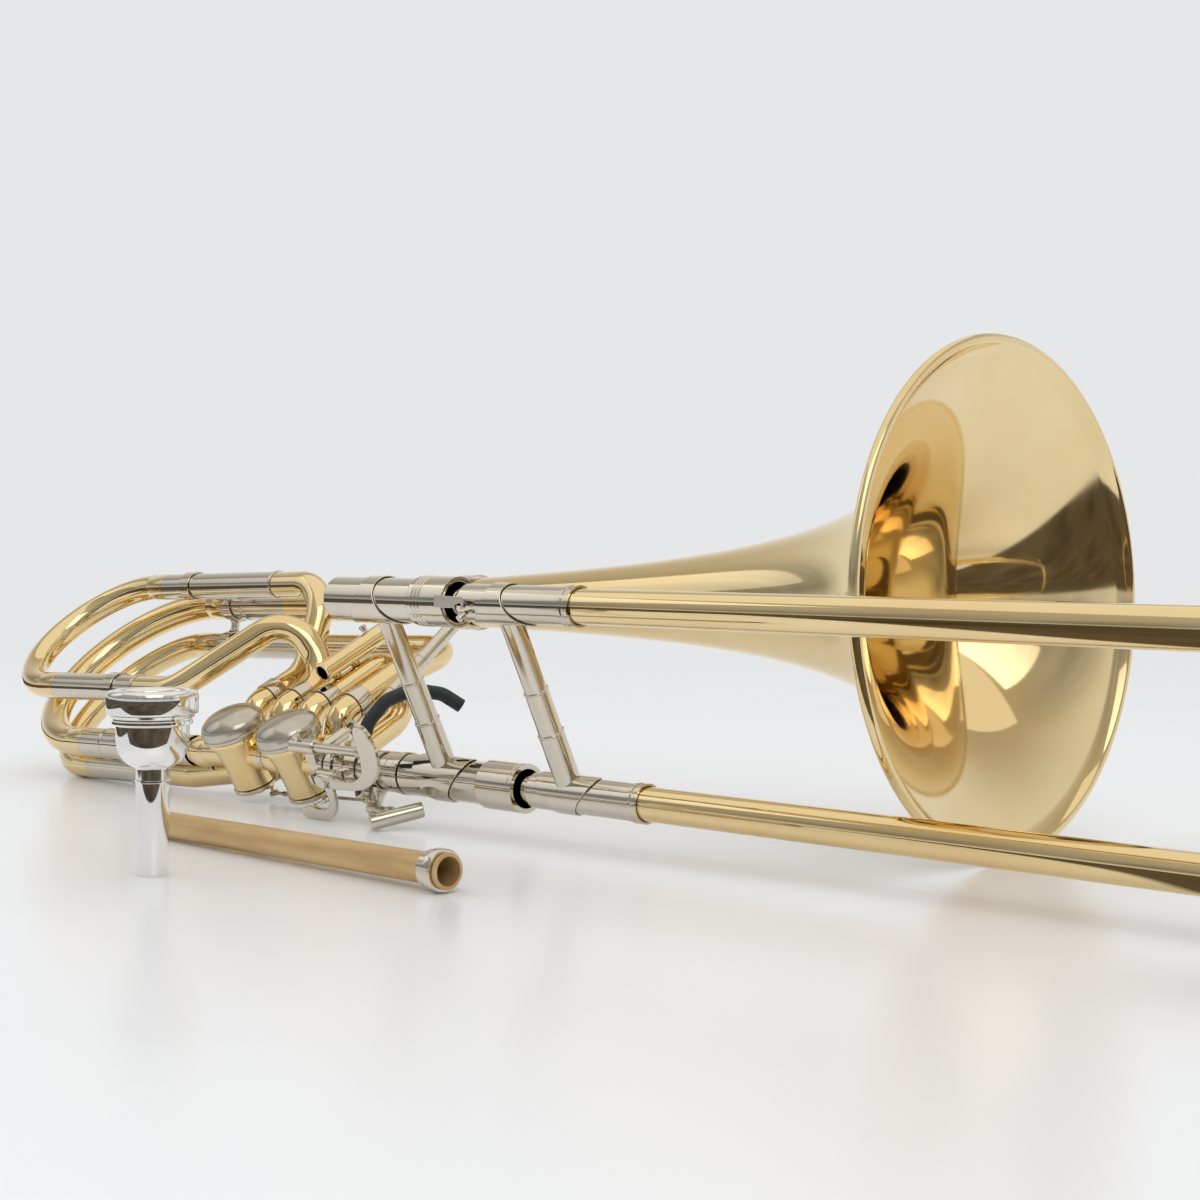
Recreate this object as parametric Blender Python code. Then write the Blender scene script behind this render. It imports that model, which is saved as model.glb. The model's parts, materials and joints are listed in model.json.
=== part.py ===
"""Bass trombone lying on a table, with its mouthpiece and leadpipe beside it.

Metres, +Z up. The model is laid out on the table with the bell mouth towards +X and the
slide along X, and an empty then carries every part so that the centre of the layout's
footprint is at the origin.
"""
from math import ceil, cos, pi, radians, sin, tan

import bmesh
import bpy
from mathutils import Matrix, Vector

GAP = 0.0003

# Facets round a piece
FINE_SIDES = 16
TUBE_SIDES = 12
LOOP_SIDES = 10
SMALL_SIDES = 8

# Slope of the instrument as it lies on the table
SLIDE_FALL = 0.0098
BELL_RISE = 0.0209
LEAN = radians(26.2)

# Bell
MOUTH_RADIUS = 0.12065
RIM_WIRE_RADIUS = 0.0025
BELL_WALL = 0.0007
FLARE_GAIN = 0.005022
FLARE_SHIFT = 0.04215
FLARE_BASE = 0.0015
BELL_TAIL_X = -0.520
BELL_STATIONS = 9
BELL_SIDES = 24

# Hand slide
LEG_SPACING = 0.1025
LOWER_LEG_Y = -0.1073
LOWER_LEG_Z = 0.0242
OUTER_TUBE_RADIUS = 0.0081
OUTER_TUBE_BORE = 0.0076
INNER_TUBE_RADIUS = 0.0072
INNER_TUBE_BORE = 0.0067
SLEEVE_RADIUS = 0.0089
SLEEVE_BACK_X = -0.195
SLEEVE_FRONT_X = -0.123
CROOK_START_X = 0.434
CROOK_LEAD = 0.003
INNER_TUBE_FRONT_X = 0.425
WATER_KEY_X = 0.405
DRAIN_X = 0.4215
BARREL_RADIUS = 0.0108
BARREL_FRONT_RADIUS = 0.0122
BARREL_CHAMBER = 0.0097
BARREL_FRONT_X = -0.202
BARREL_RING_LENGTH = 0.025
TENON_RADIUS = 0.0084
TENON_LENGTH = 0.0130
UPPER_BARREL_BACK_X = -0.290
LOWER_BARREL_BACK_X = -0.287
INNER_BRACE_X = -0.258
OUTER_BRACE_X = -0.171
BRACE_SADDLE_LENGTH = 0.020
SADDLE_WALL = 0.0009
BELL_SEAT_CLEARANCE = 0.0011
BRACE_ROD_RADIUS = 0.0055
TIE_ROD_RADIUS = 0.0028

# Main line through the valves, under the bell
FRONT_VALVE_X = -0.380
REAR_VALVE_X = -0.430
BEND_X = -0.445
MAIN_RADIUS = 0.0080
MAIN_BORE = 0.0075
KNUCKLE_RADIUS = 0.0092
KNUCKLE_LENGTH = 0.0070
FRONT_STUB_REACH = 0.0213
BACK_STUB_REACH = 0.0245
REAR_STUB_REACH = 0.0455
RECEIVER_RADIUS = 0.0094

# Valves, measured up their own axis from the main line
CASING_BOTTOM_Q = -0.0180
CASING_TOP_Q = 0.0135
CASING_BOTTOM_RADIUS = 0.0128
CASING_TOP_RADIUS = 0.0168
CASING_WALL = 0.0011
CAP_RADIUS = 0.0183
CAP_HEIGHT = 0.0125
PLATE_RADIUS = 0.0133
PLATE_THICKNESS = 0.0030
SPINDLE_RADIUS = 0.0022
ROTOR_ARM_Q = -0.0238
ROTOR_ARM_LENGTH = 0.0070
FRONT_LINK_Q = -0.0272
REAR_LINK_Q = -0.0290
PORT_SPACING = 0.0130
PORT_Q = 0.014
PORT_END_P = 0.036
FERRULE_LENGTH = 0.010

# Loop tubing
LOOP_RADIUS = 0.0080
LOOP_WALL = 0.0005
LOOP_BEND = 0.0190
WIDE_BEND = 0.0240
OUTLET_BEND = 0.0205
SLEEVE_WALL = 0.00045
LEG_LENGTH = 0.070
LEG_WALL = 0.0005
LOOP_SLEEVE_RADIUS = 0.0083
BEAD_WIDTH = 0.0024
FERRULE_STEP = 0.0004
FERRULE_RADIUS = 0.0089
MAIN_SLEEVE_RADIUS = 0.0091
TAIL_SLEEVE_RADIUS = 0.0099
BOW_FERRULE = 0.0147

# Offsets of the tubing lines from the bell's axis, across the bell section (y, z)
MAIN_OFFSET = (LOWER_LEG_Y, -0.0840)
GB_LOWER = (-0.1150, -0.0487)
GB_UPPER = (-0.0340, 0.0124)
F_LOWER = (-0.0970, -0.0996)
F_UPPER = (-0.0042, -0.0268)
TAIL = (0.0, 0.0)
GB_BOW_X = -0.623
F_BOW_X = -0.612
MAIN_BOW_X = -0.603
GB_BOW_REACH = 0.0506
F_BOW_REACH = 0.0480
MAIN_BOW_REACH = 0.0720
MAIN_BEAD_X = -0.5675
TAIL_BEAD_X = -0.5663
GB_LOWER_FRONT_X = -0.521
GB_UPPER_FRONT_X = -0.492
F_LOWER_FRONT_X = -0.521
F_UPPER_FRONT_X = -0.496
# Corners of the loop tubes between their sleeves and their valves
GB_UPPER_BEND_X = -0.446
GB_LOWER_BEND_X = -0.488
F_LOWER_BEND_X = -0.492
GB_INLET_RISE = 0.031
GB_OUTLET_RISE = 0.029
F_INLET_RISE = 0.036
GB_OUTLET_CORNER = Vector((-0.438, -0.068, 0.106))
F_OUTLET_NEAR_P = 0.035
F_OUTLET_FAR_P = 0.092
F_OUTLET_Q = -0.022

# Braces and the hand rest's socket
BELL_BRACE_X = -0.3540
WRAP_BRACE_X = -0.5805
LOWER_BRACE_X = -0.5450
SOCKET_RADIUS = 0.00575
SOCKET_BORE = 0.0042
SOCKET_Q = 0.0295
SOCKET_OPEN_P = 0.044
SOCKET_FAR_P = 0.098

# Thumb lever (rear valve) and paddle lever (front valve)
THUMB_PIVOT_X = -0.3450
THUMB_PIVOT_Q = 0.0138
DRIVE_P = 0.0168
REAR_LINK_P = 0.0108
GRIP_START_X = -0.302
ELBOW_RADIUS = 0.0032
GRIP_RADIUS = 0.0037
PADDLE_PIVOT_X = -0.3265
PADDLE_PIVOT_P = -0.0215
PADDLE_PIVOT_Q = 0.0080
PADDLE_PLATE_P = 0.0055
PADDLE_TAIL_X = -0.3500
PADDLE_TAIL_Q = -0.0135

# Hand bar under the receiver; its low end rests on the table
T_BAR_X = -0.3110
T_BAR_CENTRE = Vector((-0.2795, -0.1240, 0.0075))
T_BAR_WAY = Vector((0.55, 0.80, 0.22))
T_BAR_LENGTH = 0.028
T_SOCKET_TURN = radians(45.0)
T_SOCKET_END = 0.0165
T_STEM_RADIUS = 0.0026
T_STALK_RADIUS = 0.0030

# Mouthpiece and leadpipe on the table
MOUTHPIECE_AT = (-0.251, -0.2895)
MOUTHPIECE_LENGTH = 0.0815
LEADPIPE_FRONT = Vector((-0.1206, -0.2340, 0.0093))
LEADPIPE_BACK = Vector((-0.3560, -0.2190, 0.0068))
COLLAR_RADIUS = 0.0092
COLLAR_LENGTH = 0.012

P_AXIS = Vector((0.0, cos(LEAN), sin(LEAN)))
Q_AXIS = Vector((0.0, -sin(LEAN), cos(LEAN)))
SLIDE_AXIS = Vector((1.0, 0.0, -SLIDE_FALL)).normalized()
BELL_AXIS = Vector((1.0, 0.0, BELL_RISE)).normalized()
BELL_AXIS_Z = (MOUTH_RADIUS - RIM_WIRE_RADIUS) * BELL_AXIS.x + RIM_WIRE_RADIUS

FINISHES = {
    "lacquered_brass": ((0.78, 0.53, 0.17, 1.0), 0.16, 1.0),
    "nickel_silver": ((0.66, 0.63, 0.58, 1.0), 0.14, 1.0),
    "silver_plate": ((0.90, 0.90, 0.91, 1.0), 0.07, 1.0),
    "raw_brass": ((0.48, 0.34, 0.14, 1.0), 0.42, 1.0),
    "black_rubber": ((0.03, 0.035, 0.04, 1.0), 0.60, 0.0),
}


def clear_scene():
    for old in list(bpy.data.objects):
        bpy.data.objects.remove(old, do_unlink=True)


def finish_material(name):
    made = bpy.data.materials.get(name)
    if made:
        return made
    colour, roughness, metallic = FINISHES[name]
    made = bpy.data.materials.new(name)
    made.use_nodes = True
    shader = made.node_tree.nodes["Principled BSDF"]
    shader.inputs["Base Color"].default_value = colour
    shader.inputs["Roughness"].default_value = roughness
    shader.inputs["Metallic"].default_value = metallic
    made.diffuse_color = colour
    return made


def mesh_object(name, mesh_data, finish, origin, carrier):
    """Make an object from a bmesh laid out on the table, with its own origin."""
    bmesh.ops.recalc_face_normals(mesh_data, faces=mesh_data.faces)
    bmesh.ops.translate(mesh_data, verts=mesh_data.verts, vec=-origin)
    mesh = bpy.data.meshes.new(name)
    mesh_data.to_mesh(mesh)
    mesh_data.free()
    mesh.shade_smooth()
    mesh.set_sharp_from_angle(angle=radians(35.0))
    mesh.materials.append(finish_material(finish))
    made = bpy.data.objects.new(name, mesh)
    made.location = origin
    made.parent = carrier
    bpy.context.scene.collection.objects.link(made)
    return made


def part(name, finish, shapes, origin=Vector((0.0, 0.0, 0.0)), cuts=()):
    """A sub-part from one shape, with further shapes united to it and cuts taken out."""
    first, *others = shapes
    made = mesh_object(name, first, finish, origin, CARRIER)
    steps = [(shape, "UNION") for shape in others] + [(shape, "DIFFERENCE") for shape in cuts]
    for count, (shape, operation) in enumerate(steps):
        tool = mesh_object(f"{name}_tool_{count}", shape, finish, origin, CARRIER)
        tool.hide_render = True
        tool.display_type = "WIRE"
        tool.hide_set(True)
        boolean = made.modifiers.new(operation.lower(), "BOOLEAN")
        boolean.operation = operation
        boolean.solver = "EXACT"
        boolean.object = tool
    return made


def across(axis):
    """Two directions square to an axis, the first one level or as near as it can be."""
    side = Vector((0.0, 0.0, 1.0)).cross(axis)
    if side.length < 0.2:
        side = Vector((0.0, 1.0, 0.0))
    side = (side - axis * side.dot(axis)).normalized()
    return side, axis.cross(side)


def ring(shape, centre, side, upright, radius, sides):
    turns = (2.0 * pi * count / sides for count in range(sides))
    return [
        shape.verts.new(centre + (side * cos(turn) + upright * sin(turn)) * radius)
        for turn in turns
    ]


def bridge(shape, first, second):
    """Join two rings with faces; a ring of one point makes a fan."""
    if len(first) == 1 and len(second) == 1:
        return
    sides = max(len(first), len(second))
    for count in range(sides):
        after = (count + 1) % sides
        if len(first) == 1:
            corners = (first[0], second[after], second[count])
        elif len(second) == 1:
            corners = (first[count], first[after], second[0])
        else:
            corners = (first[count], first[after], second[after], second[count])
        shape.faces.new(corners)


def turned(start, axis, profile, sides, hollow=False):
    """A turned piece: the profile is (distance along the axis, radius) from the start."""
    shape = bmesh.new()
    axis = axis.normalized()
    side, upright = across(axis)
    rings = []
    for along, radius in profile:
        centre = start + axis * along
        if radius > 0.0:
            rings.append(ring(shape, centre, side, upright, radius, sides))
        else:
            rings.append([shape.verts.new(centre)])
    for first, second in zip(rings, rings[1:]):
        bridge(shape, first, second)
    if hollow:
        bridge(shape, rings[-1], rings[0])
    else:
        for end in (rings[0], rings[-1]):
            if len(end) > 1:
                shape.faces.new(end)
    return shape


def rod(start, end, radius, sides=SMALL_SIDES):
    axis = end - start
    return turned(start, axis, [(0.0, radius), (axis.length, radius)], sides)


def sleeve(start, end, outer, bore, sides=TUBE_SIDES):
    """A plain tube between two points."""
    axis = end - start
    profile = [(0.0, outer), (axis.length, outer), (axis.length, bore), (0.0, bore)]
    return turned(start, axis, profile, sides, hollow=True)


def ball(centre, radius, axis, sides=SMALL_SIDES, rows=4):
    profile = [
        (-radius * cos(pi * row / rows), radius * sin(pi * row / rows) if 0 < row < rows else 0.0)
        for row in range(rows + 1)
    ]
    return turned(centre, axis, profile, sides)


def bent_route(corners, bend, step=radians(30.0)):
    """Straight runs between corners, with a round bend at each inner corner."""
    route = [corners[0]]
    for before, corner, after in zip(corners, corners[1:], corners[2:]):
        arriving = (corner - before).normalized()
        leaving = (after - corner).normalized()
        turn = arriving.angle(leaving)
        setback = bend * tan(turn / 2.0)
        pivot_axis = arriving.cross(leaving).normalized()
        start = corner - arriving * setback
        centre = start + pivot_axis.cross(arriving) * bend
        steps = max(2, ceil(turn / step))
        for count in range(steps + 1):
            turned_by = Matrix.Rotation(turn * count / steps, 3, pivot_axis)
            route.append(centre + turned_by @ (start - centre))
    route.append(corners[-1])
    return route


def half_turn(first, second, outward, steps=8, reach=None):
    """Points of a half circle, or half ellipse, from one point to another, bulging outwards."""
    centre = (first + second) / 2.0
    arm = first - centre
    reach = outward.normalized() * (reach or arm.length)
    return [
        centre + arm * cos(pi * count / steps) + reach * sin(pi * count / steps)
        for count in range(steps + 1)
    ]


def piped(route, outer, wall=0.0, sides=LOOP_SIDES):
    """A pipe along a route. outer is one radius or a radius for each point; no wall is solid."""
    shape = bmesh.new()
    radii = outer if isinstance(outer, list) else [outer] * len(route)
    outsides, insides = [], []
    side = None
    for count, (point, radius) in enumerate(zip(route, radii)):
        before = route[max(count - 1, 0)]
        after = route[min(count + 1, len(route) - 1)]
        arriving = (point - before).normalized() if count else (after - point).normalized()
        leaving = (after - point).normalized() if after is not point else arriving
        tangent = (arriving + leaving).normalized()
        if side is None:
            side, _ = across(tangent)
        side = (side - tangent * side.dot(tangent)).normalized()
        upright = tangent.cross(side)
        outsides.append(ring(shape, point, side, upright, radius, sides))
        if wall:
            insides.append(ring(shape, point, side, upright, min(radii) - wall, sides))
    rings = outsides + insides[::-1]
    for first, second in zip(rings, rings[1:]):
        bridge(shape, first, second)
    if wall:
        bridge(shape, rings[-1], rings[0])
    else:
        shape.faces.new(rings[0])
        shape.faces.new(rings[-1])
    return shape


def slab(outline, origin, right, up, thickness):
    """A flat plate: the outline is (right, up) points, thickened square to both."""
    shape = bmesh.new()
    normal = right.cross(up).normalized()
    face = shape.faces.new([
        shape.verts.new(origin + right * across_by + up * up_by - normal * thickness / 2.0)
        for across_by, up_by in outline
    ])
    grown = bmesh.ops.extrude_face_region(shape, geom=[face])
    moved = [item for item in grown["geom"] if isinstance(item, bmesh.types.BMVert)]
    bmesh.ops.translate(shape, verts=moved, vec=normal * thickness)
    return shape


def lower_leg(x):
    return Vector((x, LOWER_LEG_Y, LOWER_LEG_Z - SLIDE_FALL * x))


def upper_leg(x):
    return lower_leg(x) + Q_AXIS * LEG_SPACING


def bell_line(x, offset=TAIL):
    return Vector((x, offset[0], BELL_AXIS_Z + BELL_RISE * x + offset[1]))


def main_line(x, p=0.0, q=0.0):
    """A point by the main line: p away from the slide's plane, q up along it."""
    base = lower_leg(x) if x > BEND_X else bell_line(x, MAIN_OFFSET)
    return base + P_AXIS * p + Q_AXIS * q


def flare_radius(x):
    return FLARE_GAIN / (FLARE_SHIFT - x) + FLARE_BASE


def make_bell():
    """The flare, its rolled rim and the tapering tail as one spun sheet."""
    lip_x = -0.0030
    far = FLARE_SHIFT - BELL_TAIL_X
    near = FLARE_SHIFT - lip_x
    shares = [count / (BELL_STATIONS - 1) for count in range(BELL_STATIONS)]
    stations = [FLARE_SHIFT - far * (near / far) ** share for share in shares]
    outside = [(x - BELL_TAIL_X, flare_radius(x)) for x in stations]
    inside = [(along, radius - BELL_WALL) for along, radius in outside[::-1]]
    wire_turns = [radians(190.0 - 48.0 * count) for count in range(6)]
    bead = [
        (
            RIM_WIRE_RADIUS * cos(turn) - BELL_TAIL_X,
            MOUTH_RADIUS + RIM_WIRE_RADIUS * (sin(turn) - 1.0),
        )
        for turn in wire_turns
    ]
    profile = outside + bead + inside
    shape = turned(bell_line(BELL_TAIL_X), BELL_AXIS, profile, BELL_SIDES, hollow=True)
    part("bell", "lacquered_brass", [shape])


def leg_sleeve(name, offset, back_x, front_x, outer, bead_x=None):
    """A fixed tuning sleeve along the bell section, with a bead round it."""
    start = bell_line(back_x, offset)
    length = (bell_line(front_x, offset) - start).length
    bead = outer + 0.0006
    at = length - BEAD_WIDTH if bead_x is None else bead_x - back_x
    profile = [(0.0, outer), (at, outer), (at, bead), (at + BEAD_WIDTH, bead)]
    if bead_x is not None:
        profile += [(at + BEAD_WIDTH, outer), (length, outer)]
    bore = outer - SLEEVE_WALL
    profile += [(length, bore), (0.0, bore)]
    part(name, "nickel_silver", [turned(start, BELL_AXIS, profile, LOOP_SIDES, hollow=True)])


def make_sleeves():
    """Six sleeves, two for each tuning slide."""
    gb_back = GB_BOW_X + BOW_FERRULE + GAP
    f_back = F_BOW_X + BOW_FERRULE + GAP
    main_back = MAIN_BOW_X + BOW_FERRULE + GAP
    leg_sleeve("gb_sleeve_lower", GB_LOWER, gb_back, GB_LOWER_FRONT_X, LOOP_SLEEVE_RADIUS)
    leg_sleeve("gb_sleeve_upper", GB_UPPER, gb_back, GB_UPPER_FRONT_X, LOOP_SLEEVE_RADIUS)
    leg_sleeve("f_sleeve_lower", F_LOWER, f_back, F_LOWER_FRONT_X, LOOP_SLEEVE_RADIUS)
    leg_sleeve("f_sleeve_upper", F_UPPER, f_back, F_UPPER_FRONT_X, LOOP_SLEEVE_RADIUS)
    main_front = REAR_VALVE_X - REAR_STUB_REACH - GAP
    leg_sleeve(
        "main_sleeve_lower", MAIN_OFFSET, main_back, main_front, MAIN_SLEEVE_RADIUS, MAIN_BEAD_X
    )
    leg_sleeve(
        "main_sleeve_upper", TAIL, main_back, BELL_TAIL_X - GAP, TAIL_SLEEVE_RADIUS, TAIL_BEAD_X
    )


def make_tuning_slide(name, bow_x, offsets, sleeves, bows, reach):
    """A bow whose two legs run up inside their sleeves, with a ferrule where each begins."""
    ends = [bell_line(bow_x, offset) for offset in offsets]
    step = BELL_AXIS * FERRULE_STEP
    leads = []
    radii = []
    for end, sleeve_radius, bow_radius in zip(ends, sleeves, bows):
        leg_radius = (sleeve_radius - SLEEVE_WALL - GAP) * cos(pi / LOOP_SIDES)
        ferrule = end + BELL_AXIS * BOW_FERRULE
        leads.append([end + BELL_AXIS * LEG_LENGTH, ferrule, ferrule - step, end + step, end])
        radii.append([leg_radius, leg_radius, sleeve_radius, sleeve_radius, bow_radius])
    bow = half_turn(*ends, -BELL_AXIS, reach=reach)[1:-1]
    shares = [(count + 1) / (len(bow) + 1) for count in range(len(bow))]
    bow_radii = [bows[0] + (bows[1] - bows[0]) * share for share in shares]
    route = leads[0] + bow + leads[1][::-1]
    outer = radii[0] + bow_radii + radii[1][::-1]
    part(f"{name}_tuning_slide", "lacquered_brass", [piped(route, outer, LEG_WALL)])


def make_tuning_slides():
    loop_sleeves = (LOOP_SLEEVE_RADIUS, LOOP_SLEEVE_RADIUS)
    loop_bows = (LOOP_RADIUS, LOOP_RADIUS)
    make_tuning_slide("gb", GB_BOW_X, (GB_LOWER, GB_UPPER), loop_sleeves, loop_bows, GB_BOW_REACH)
    make_tuning_slide("f", F_BOW_X, (F_LOWER, F_UPPER), loop_sleeves, loop_bows, F_BOW_REACH)
    make_tuning_slide(
        "main", MAIN_BOW_X, (MAIN_OFFSET, TAIL), (MAIN_SLEEVE_RADIUS, TAIL_SLEEVE_RADIUS),
        (MAIN_SLEEVE_RADIUS - 0.0003, TAIL_SLEEVE_RADIUS - 0.0002), MAIN_BOW_REACH,
    )


def port(valve_x, side):
    """Where a loop tube meets its valve, and the way it leaves."""
    return main_line(valve_x + side * PORT_SPACING, PORT_END_P, PORT_Q)


def make_loop_tubes():
    seam = P_AXIS * GAP
    gb_in = port(REAR_VALVE_X, -1) + seam
    gb_out = port(REAR_VALVE_X, 1) + seam
    f_in = port(FRONT_VALVE_X, 1) + seam
    f_out = port(FRONT_VALVE_X, -1) + seam
    behind = BELL_AXIS * GAP
    routes = {
        "gb_inlet_tube": [
            bell_line(GB_UPPER_FRONT_X, GB_UPPER) + behind,
            bell_line(GB_UPPER_BEND_X, GB_UPPER),
            gb_in + P_AXIS * GB_INLET_RISE,
            gb_in,
        ],
        "gb_outlet_tube": [
            bell_line(GB_LOWER_FRONT_X, GB_LOWER) + behind,
            bell_line(GB_LOWER_BEND_X, GB_LOWER),
            GB_OUTLET_CORNER,
            gb_out + P_AXIS * GB_OUTLET_RISE,
            gb_out,
        ],
        "f_inlet_tube": [
            bell_line(F_UPPER_FRONT_X, F_UPPER) + behind,
            bell_line(FRONT_VALVE_X + PORT_SPACING, F_UPPER),
            f_in + P_AXIS * F_INLET_RISE,
            f_in,
        ],
        "f_outlet_tube": [
            bell_line(F_LOWER_FRONT_X, F_LOWER) + behind,
            bell_line(F_LOWER_BEND_X, F_LOWER),
            main_line(FRONT_VALVE_X - PORT_SPACING, F_OUTLET_NEAR_P, F_OUTLET_Q),
            main_line(FRONT_VALVE_X - PORT_SPACING, F_OUTLET_FAR_P, F_OUTLET_Q),
            main_line(FRONT_VALVE_X - PORT_SPACING, F_OUTLET_FAR_P, PORT_Q),
            f_out,
        ],
    }
    bends = {
        "gb_inlet_tube": WIDE_BEND,
        "gb_outlet_tube": OUTLET_BEND,
        "f_outlet_tube": (PORT_Q - F_OUTLET_Q) / 2.0 - 0.0001,
    }
    for name, corners in routes.items():
        end = corners.pop()
        corners += [end + P_AXIS * (FERRULE_LENGTH + FERRULE_STEP)]
        route = bent_route(corners, bends.get(name, LOOP_BEND))
        radii = [LOOP_RADIUS] * len(route) + [FERRULE_RADIUS] * 2
        route += [end + P_AXIS * FERRULE_LENGTH, end]
        part(name, "lacquered_brass", [piped(route, radii, LOOP_WALL)])


def casing_radius(q):
    share = (q - CASING_BOTTOM_Q) / (CASING_TOP_Q - CASING_BOTTOM_Q)
    return CASING_BOTTOM_RADIUS + (CASING_TOP_RADIUS - CASING_BOTTOM_RADIUS) * share ** 1.6


def make_valve(name, valve_x, back_reach, knuckle):
    """Casing with its knuckles, domed cap, bearing plate and tapered rotor."""
    foot = main_line(valve_x)
    levels = [
        CASING_BOTTOM_Q + (CASING_TOP_Q - CASING_BOTTOM_Q) * count / 3.0 for count in range(4)
    ]
    outside = [(q, casing_radius(q)) for q in levels]
    inside = [(q, casing_radius(q) - CASING_WALL) for q in levels[::-1]]
    shell = turned(foot, Q_AXIS, outside + inside, FINE_SIDES, hollow=True)
    chamber = [(q, casing_radius(q) - CASING_WALL + 0.0001) for q in levels]
    chamber[0] = (CASING_BOTTOM_Q - 0.0010, chamber[0][1])
    chamber[-1] = (CASING_TOP_Q + 0.0010, chamber[-1][1])
    hollow = turned(foot, Q_AXIS, chamber, FINE_SIDES)
    back = (main_line(valve_x - back_reach) - foot).normalized()
    back_stub = turned(foot, back, [
        (0.008, MAIN_RADIUS), (knuckle - KNUCKLE_LENGTH, MAIN_RADIUS),
        (knuckle - KNUCKLE_LENGTH * 0.4, KNUCKLE_RADIUS),
        (knuckle + KNUCKLE_LENGTH * 0.4, KNUCKLE_RADIUS),
        (knuckle + KNUCKLE_LENGTH, MAIN_RADIUS), (back_reach, MAIN_RADIUS),
    ], TUBE_SIDES)
    front_stub = rod(
        foot + SLIDE_AXIS * 0.012, foot + SLIDE_AXIS * FRONT_STUB_REACH, MAIN_RADIUS, TUBE_SIDES
    )
    elbows = []
    for side in (-1, 1):
        x = valve_x + side * PORT_SPACING
        corners = [
            main_line(x, 0.006, 0.001),
            main_line(x, 0.0185, 0.001),
            main_line(x, 0.0275, PORT_Q),
            main_line(x, PORT_END_P, PORT_Q),
        ]
        elbows.append(piped(bent_route(corners, 0.0100, radians(45.0)), LOOP_RADIUS))
    solid = [shell, back_stub, front_stub] + elbows
    part(f"{name}_valve_casing", "lacquered_brass", solid, foot, cuts=[hollow])
    dome = [
        (CASING_TOP_Q + GAP, 0.0),
        (CASING_TOP_Q + GAP, CAP_RADIUS - 0.0006),
        (CASING_TOP_Q + 0.0012, CAP_RADIUS),
        (CASING_TOP_Q + 0.0052, CAP_RADIUS),
    ]
    dome += [
        (
            CASING_TOP_Q + 0.0052 + (CAP_HEIGHT - 0.0052) * sin(radians(22.5 * count)),
            CAP_RADIUS * cos(radians(22.5 * count)) if count < 4 else 0.0,
        )
        for count in range(1, 5)
    ]
    part(f"{name}_valve_cap", "nickel_silver", [turned(foot, Q_AXIS, dome, FINE_SIDES)], foot)
    plate_top = CASING_BOTTOM_Q - GAP
    plate = [
        (plate_top, PLATE_RADIUS - 0.0012),
        (plate_top - 0.0006, PLATE_RADIUS),
        (plate_top - PLATE_THICKNESS + 0.0006, PLATE_RADIUS),
        (plate_top - PLATE_THICKNESS, PLATE_RADIUS - 0.0009),
        (plate_top - PLATE_THICKNESS, SPINDLE_RADIUS + GAP),
        (plate_top, SPINDLE_RADIUS + GAP),
    ]
    part(
        f"{name}_bearing_plate", "nickel_silver",
        [turned(foot, Q_AXIS, plate, TUBE_SIDES, hollow=True)], foot,
    )


def make_rotor(name, valve_x, arm_turn, pin_length):
    """The tapered rotor with its spindle, and the stop arm under the bearing plate."""
    foot = main_line(valve_x)
    clear = CASING_WALL + 0.0008
    low = CASING_BOTTOM_Q + 0.0010
    high = CASING_TOP_Q - 0.0010
    body = [
        (ROTOR_ARM_Q - 0.0020, SPINDLE_RADIUS),
        (low, SPINDLE_RADIUS),
        (low, casing_radius(low) - clear),
        (0.0, casing_radius(0.0) - clear - 0.0004),
        (high, casing_radius(high) - clear),
        (high, SPINDLE_RADIUS),
        (high + 0.0004, SPINDLE_RADIUS),
    ]
    plug = turned(foot, Q_AXIS, body, TUBE_SIDES)
    reach = SLIDE_AXIS * cos(arm_turn) + P_AXIS * sin(arm_turn)
    beside = Q_AXIS.cross(reach)
    hub = foot + Q_AXIS * ROTOR_ARM_Q
    length = ROTOR_ARM_LENGTH
    outline = [
        (-0.0034, -0.0034), (length, -0.0022), (length + 0.0020, 0.0),
        (length, 0.0022), (-0.0034, 0.0034),
    ]
    arm = slab(outline, hub, reach, beside, 0.0020)
    pin = hub + reach * length
    peg = rod(pin + Q_AXIS * 0.0004, pin - Q_AXIS * pin_length, 0.0011, SMALL_SIDES)
    passages = []
    for side in (-1, 1):
        centre = foot + P_AXIS * side * 0.0135
        passages.append(piped(
            half_turn(centre + SLIDE_AXIS * 0.0150, centre - SLIDE_AXIS * 0.0150, -P_AXIS * side, 4),
            0.0062, sides=SMALL_SIDES,
        ))
    part(f"{name}_rotor", "lacquered_brass", [plug, arm, peg], foot, cuts=passages)


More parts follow.
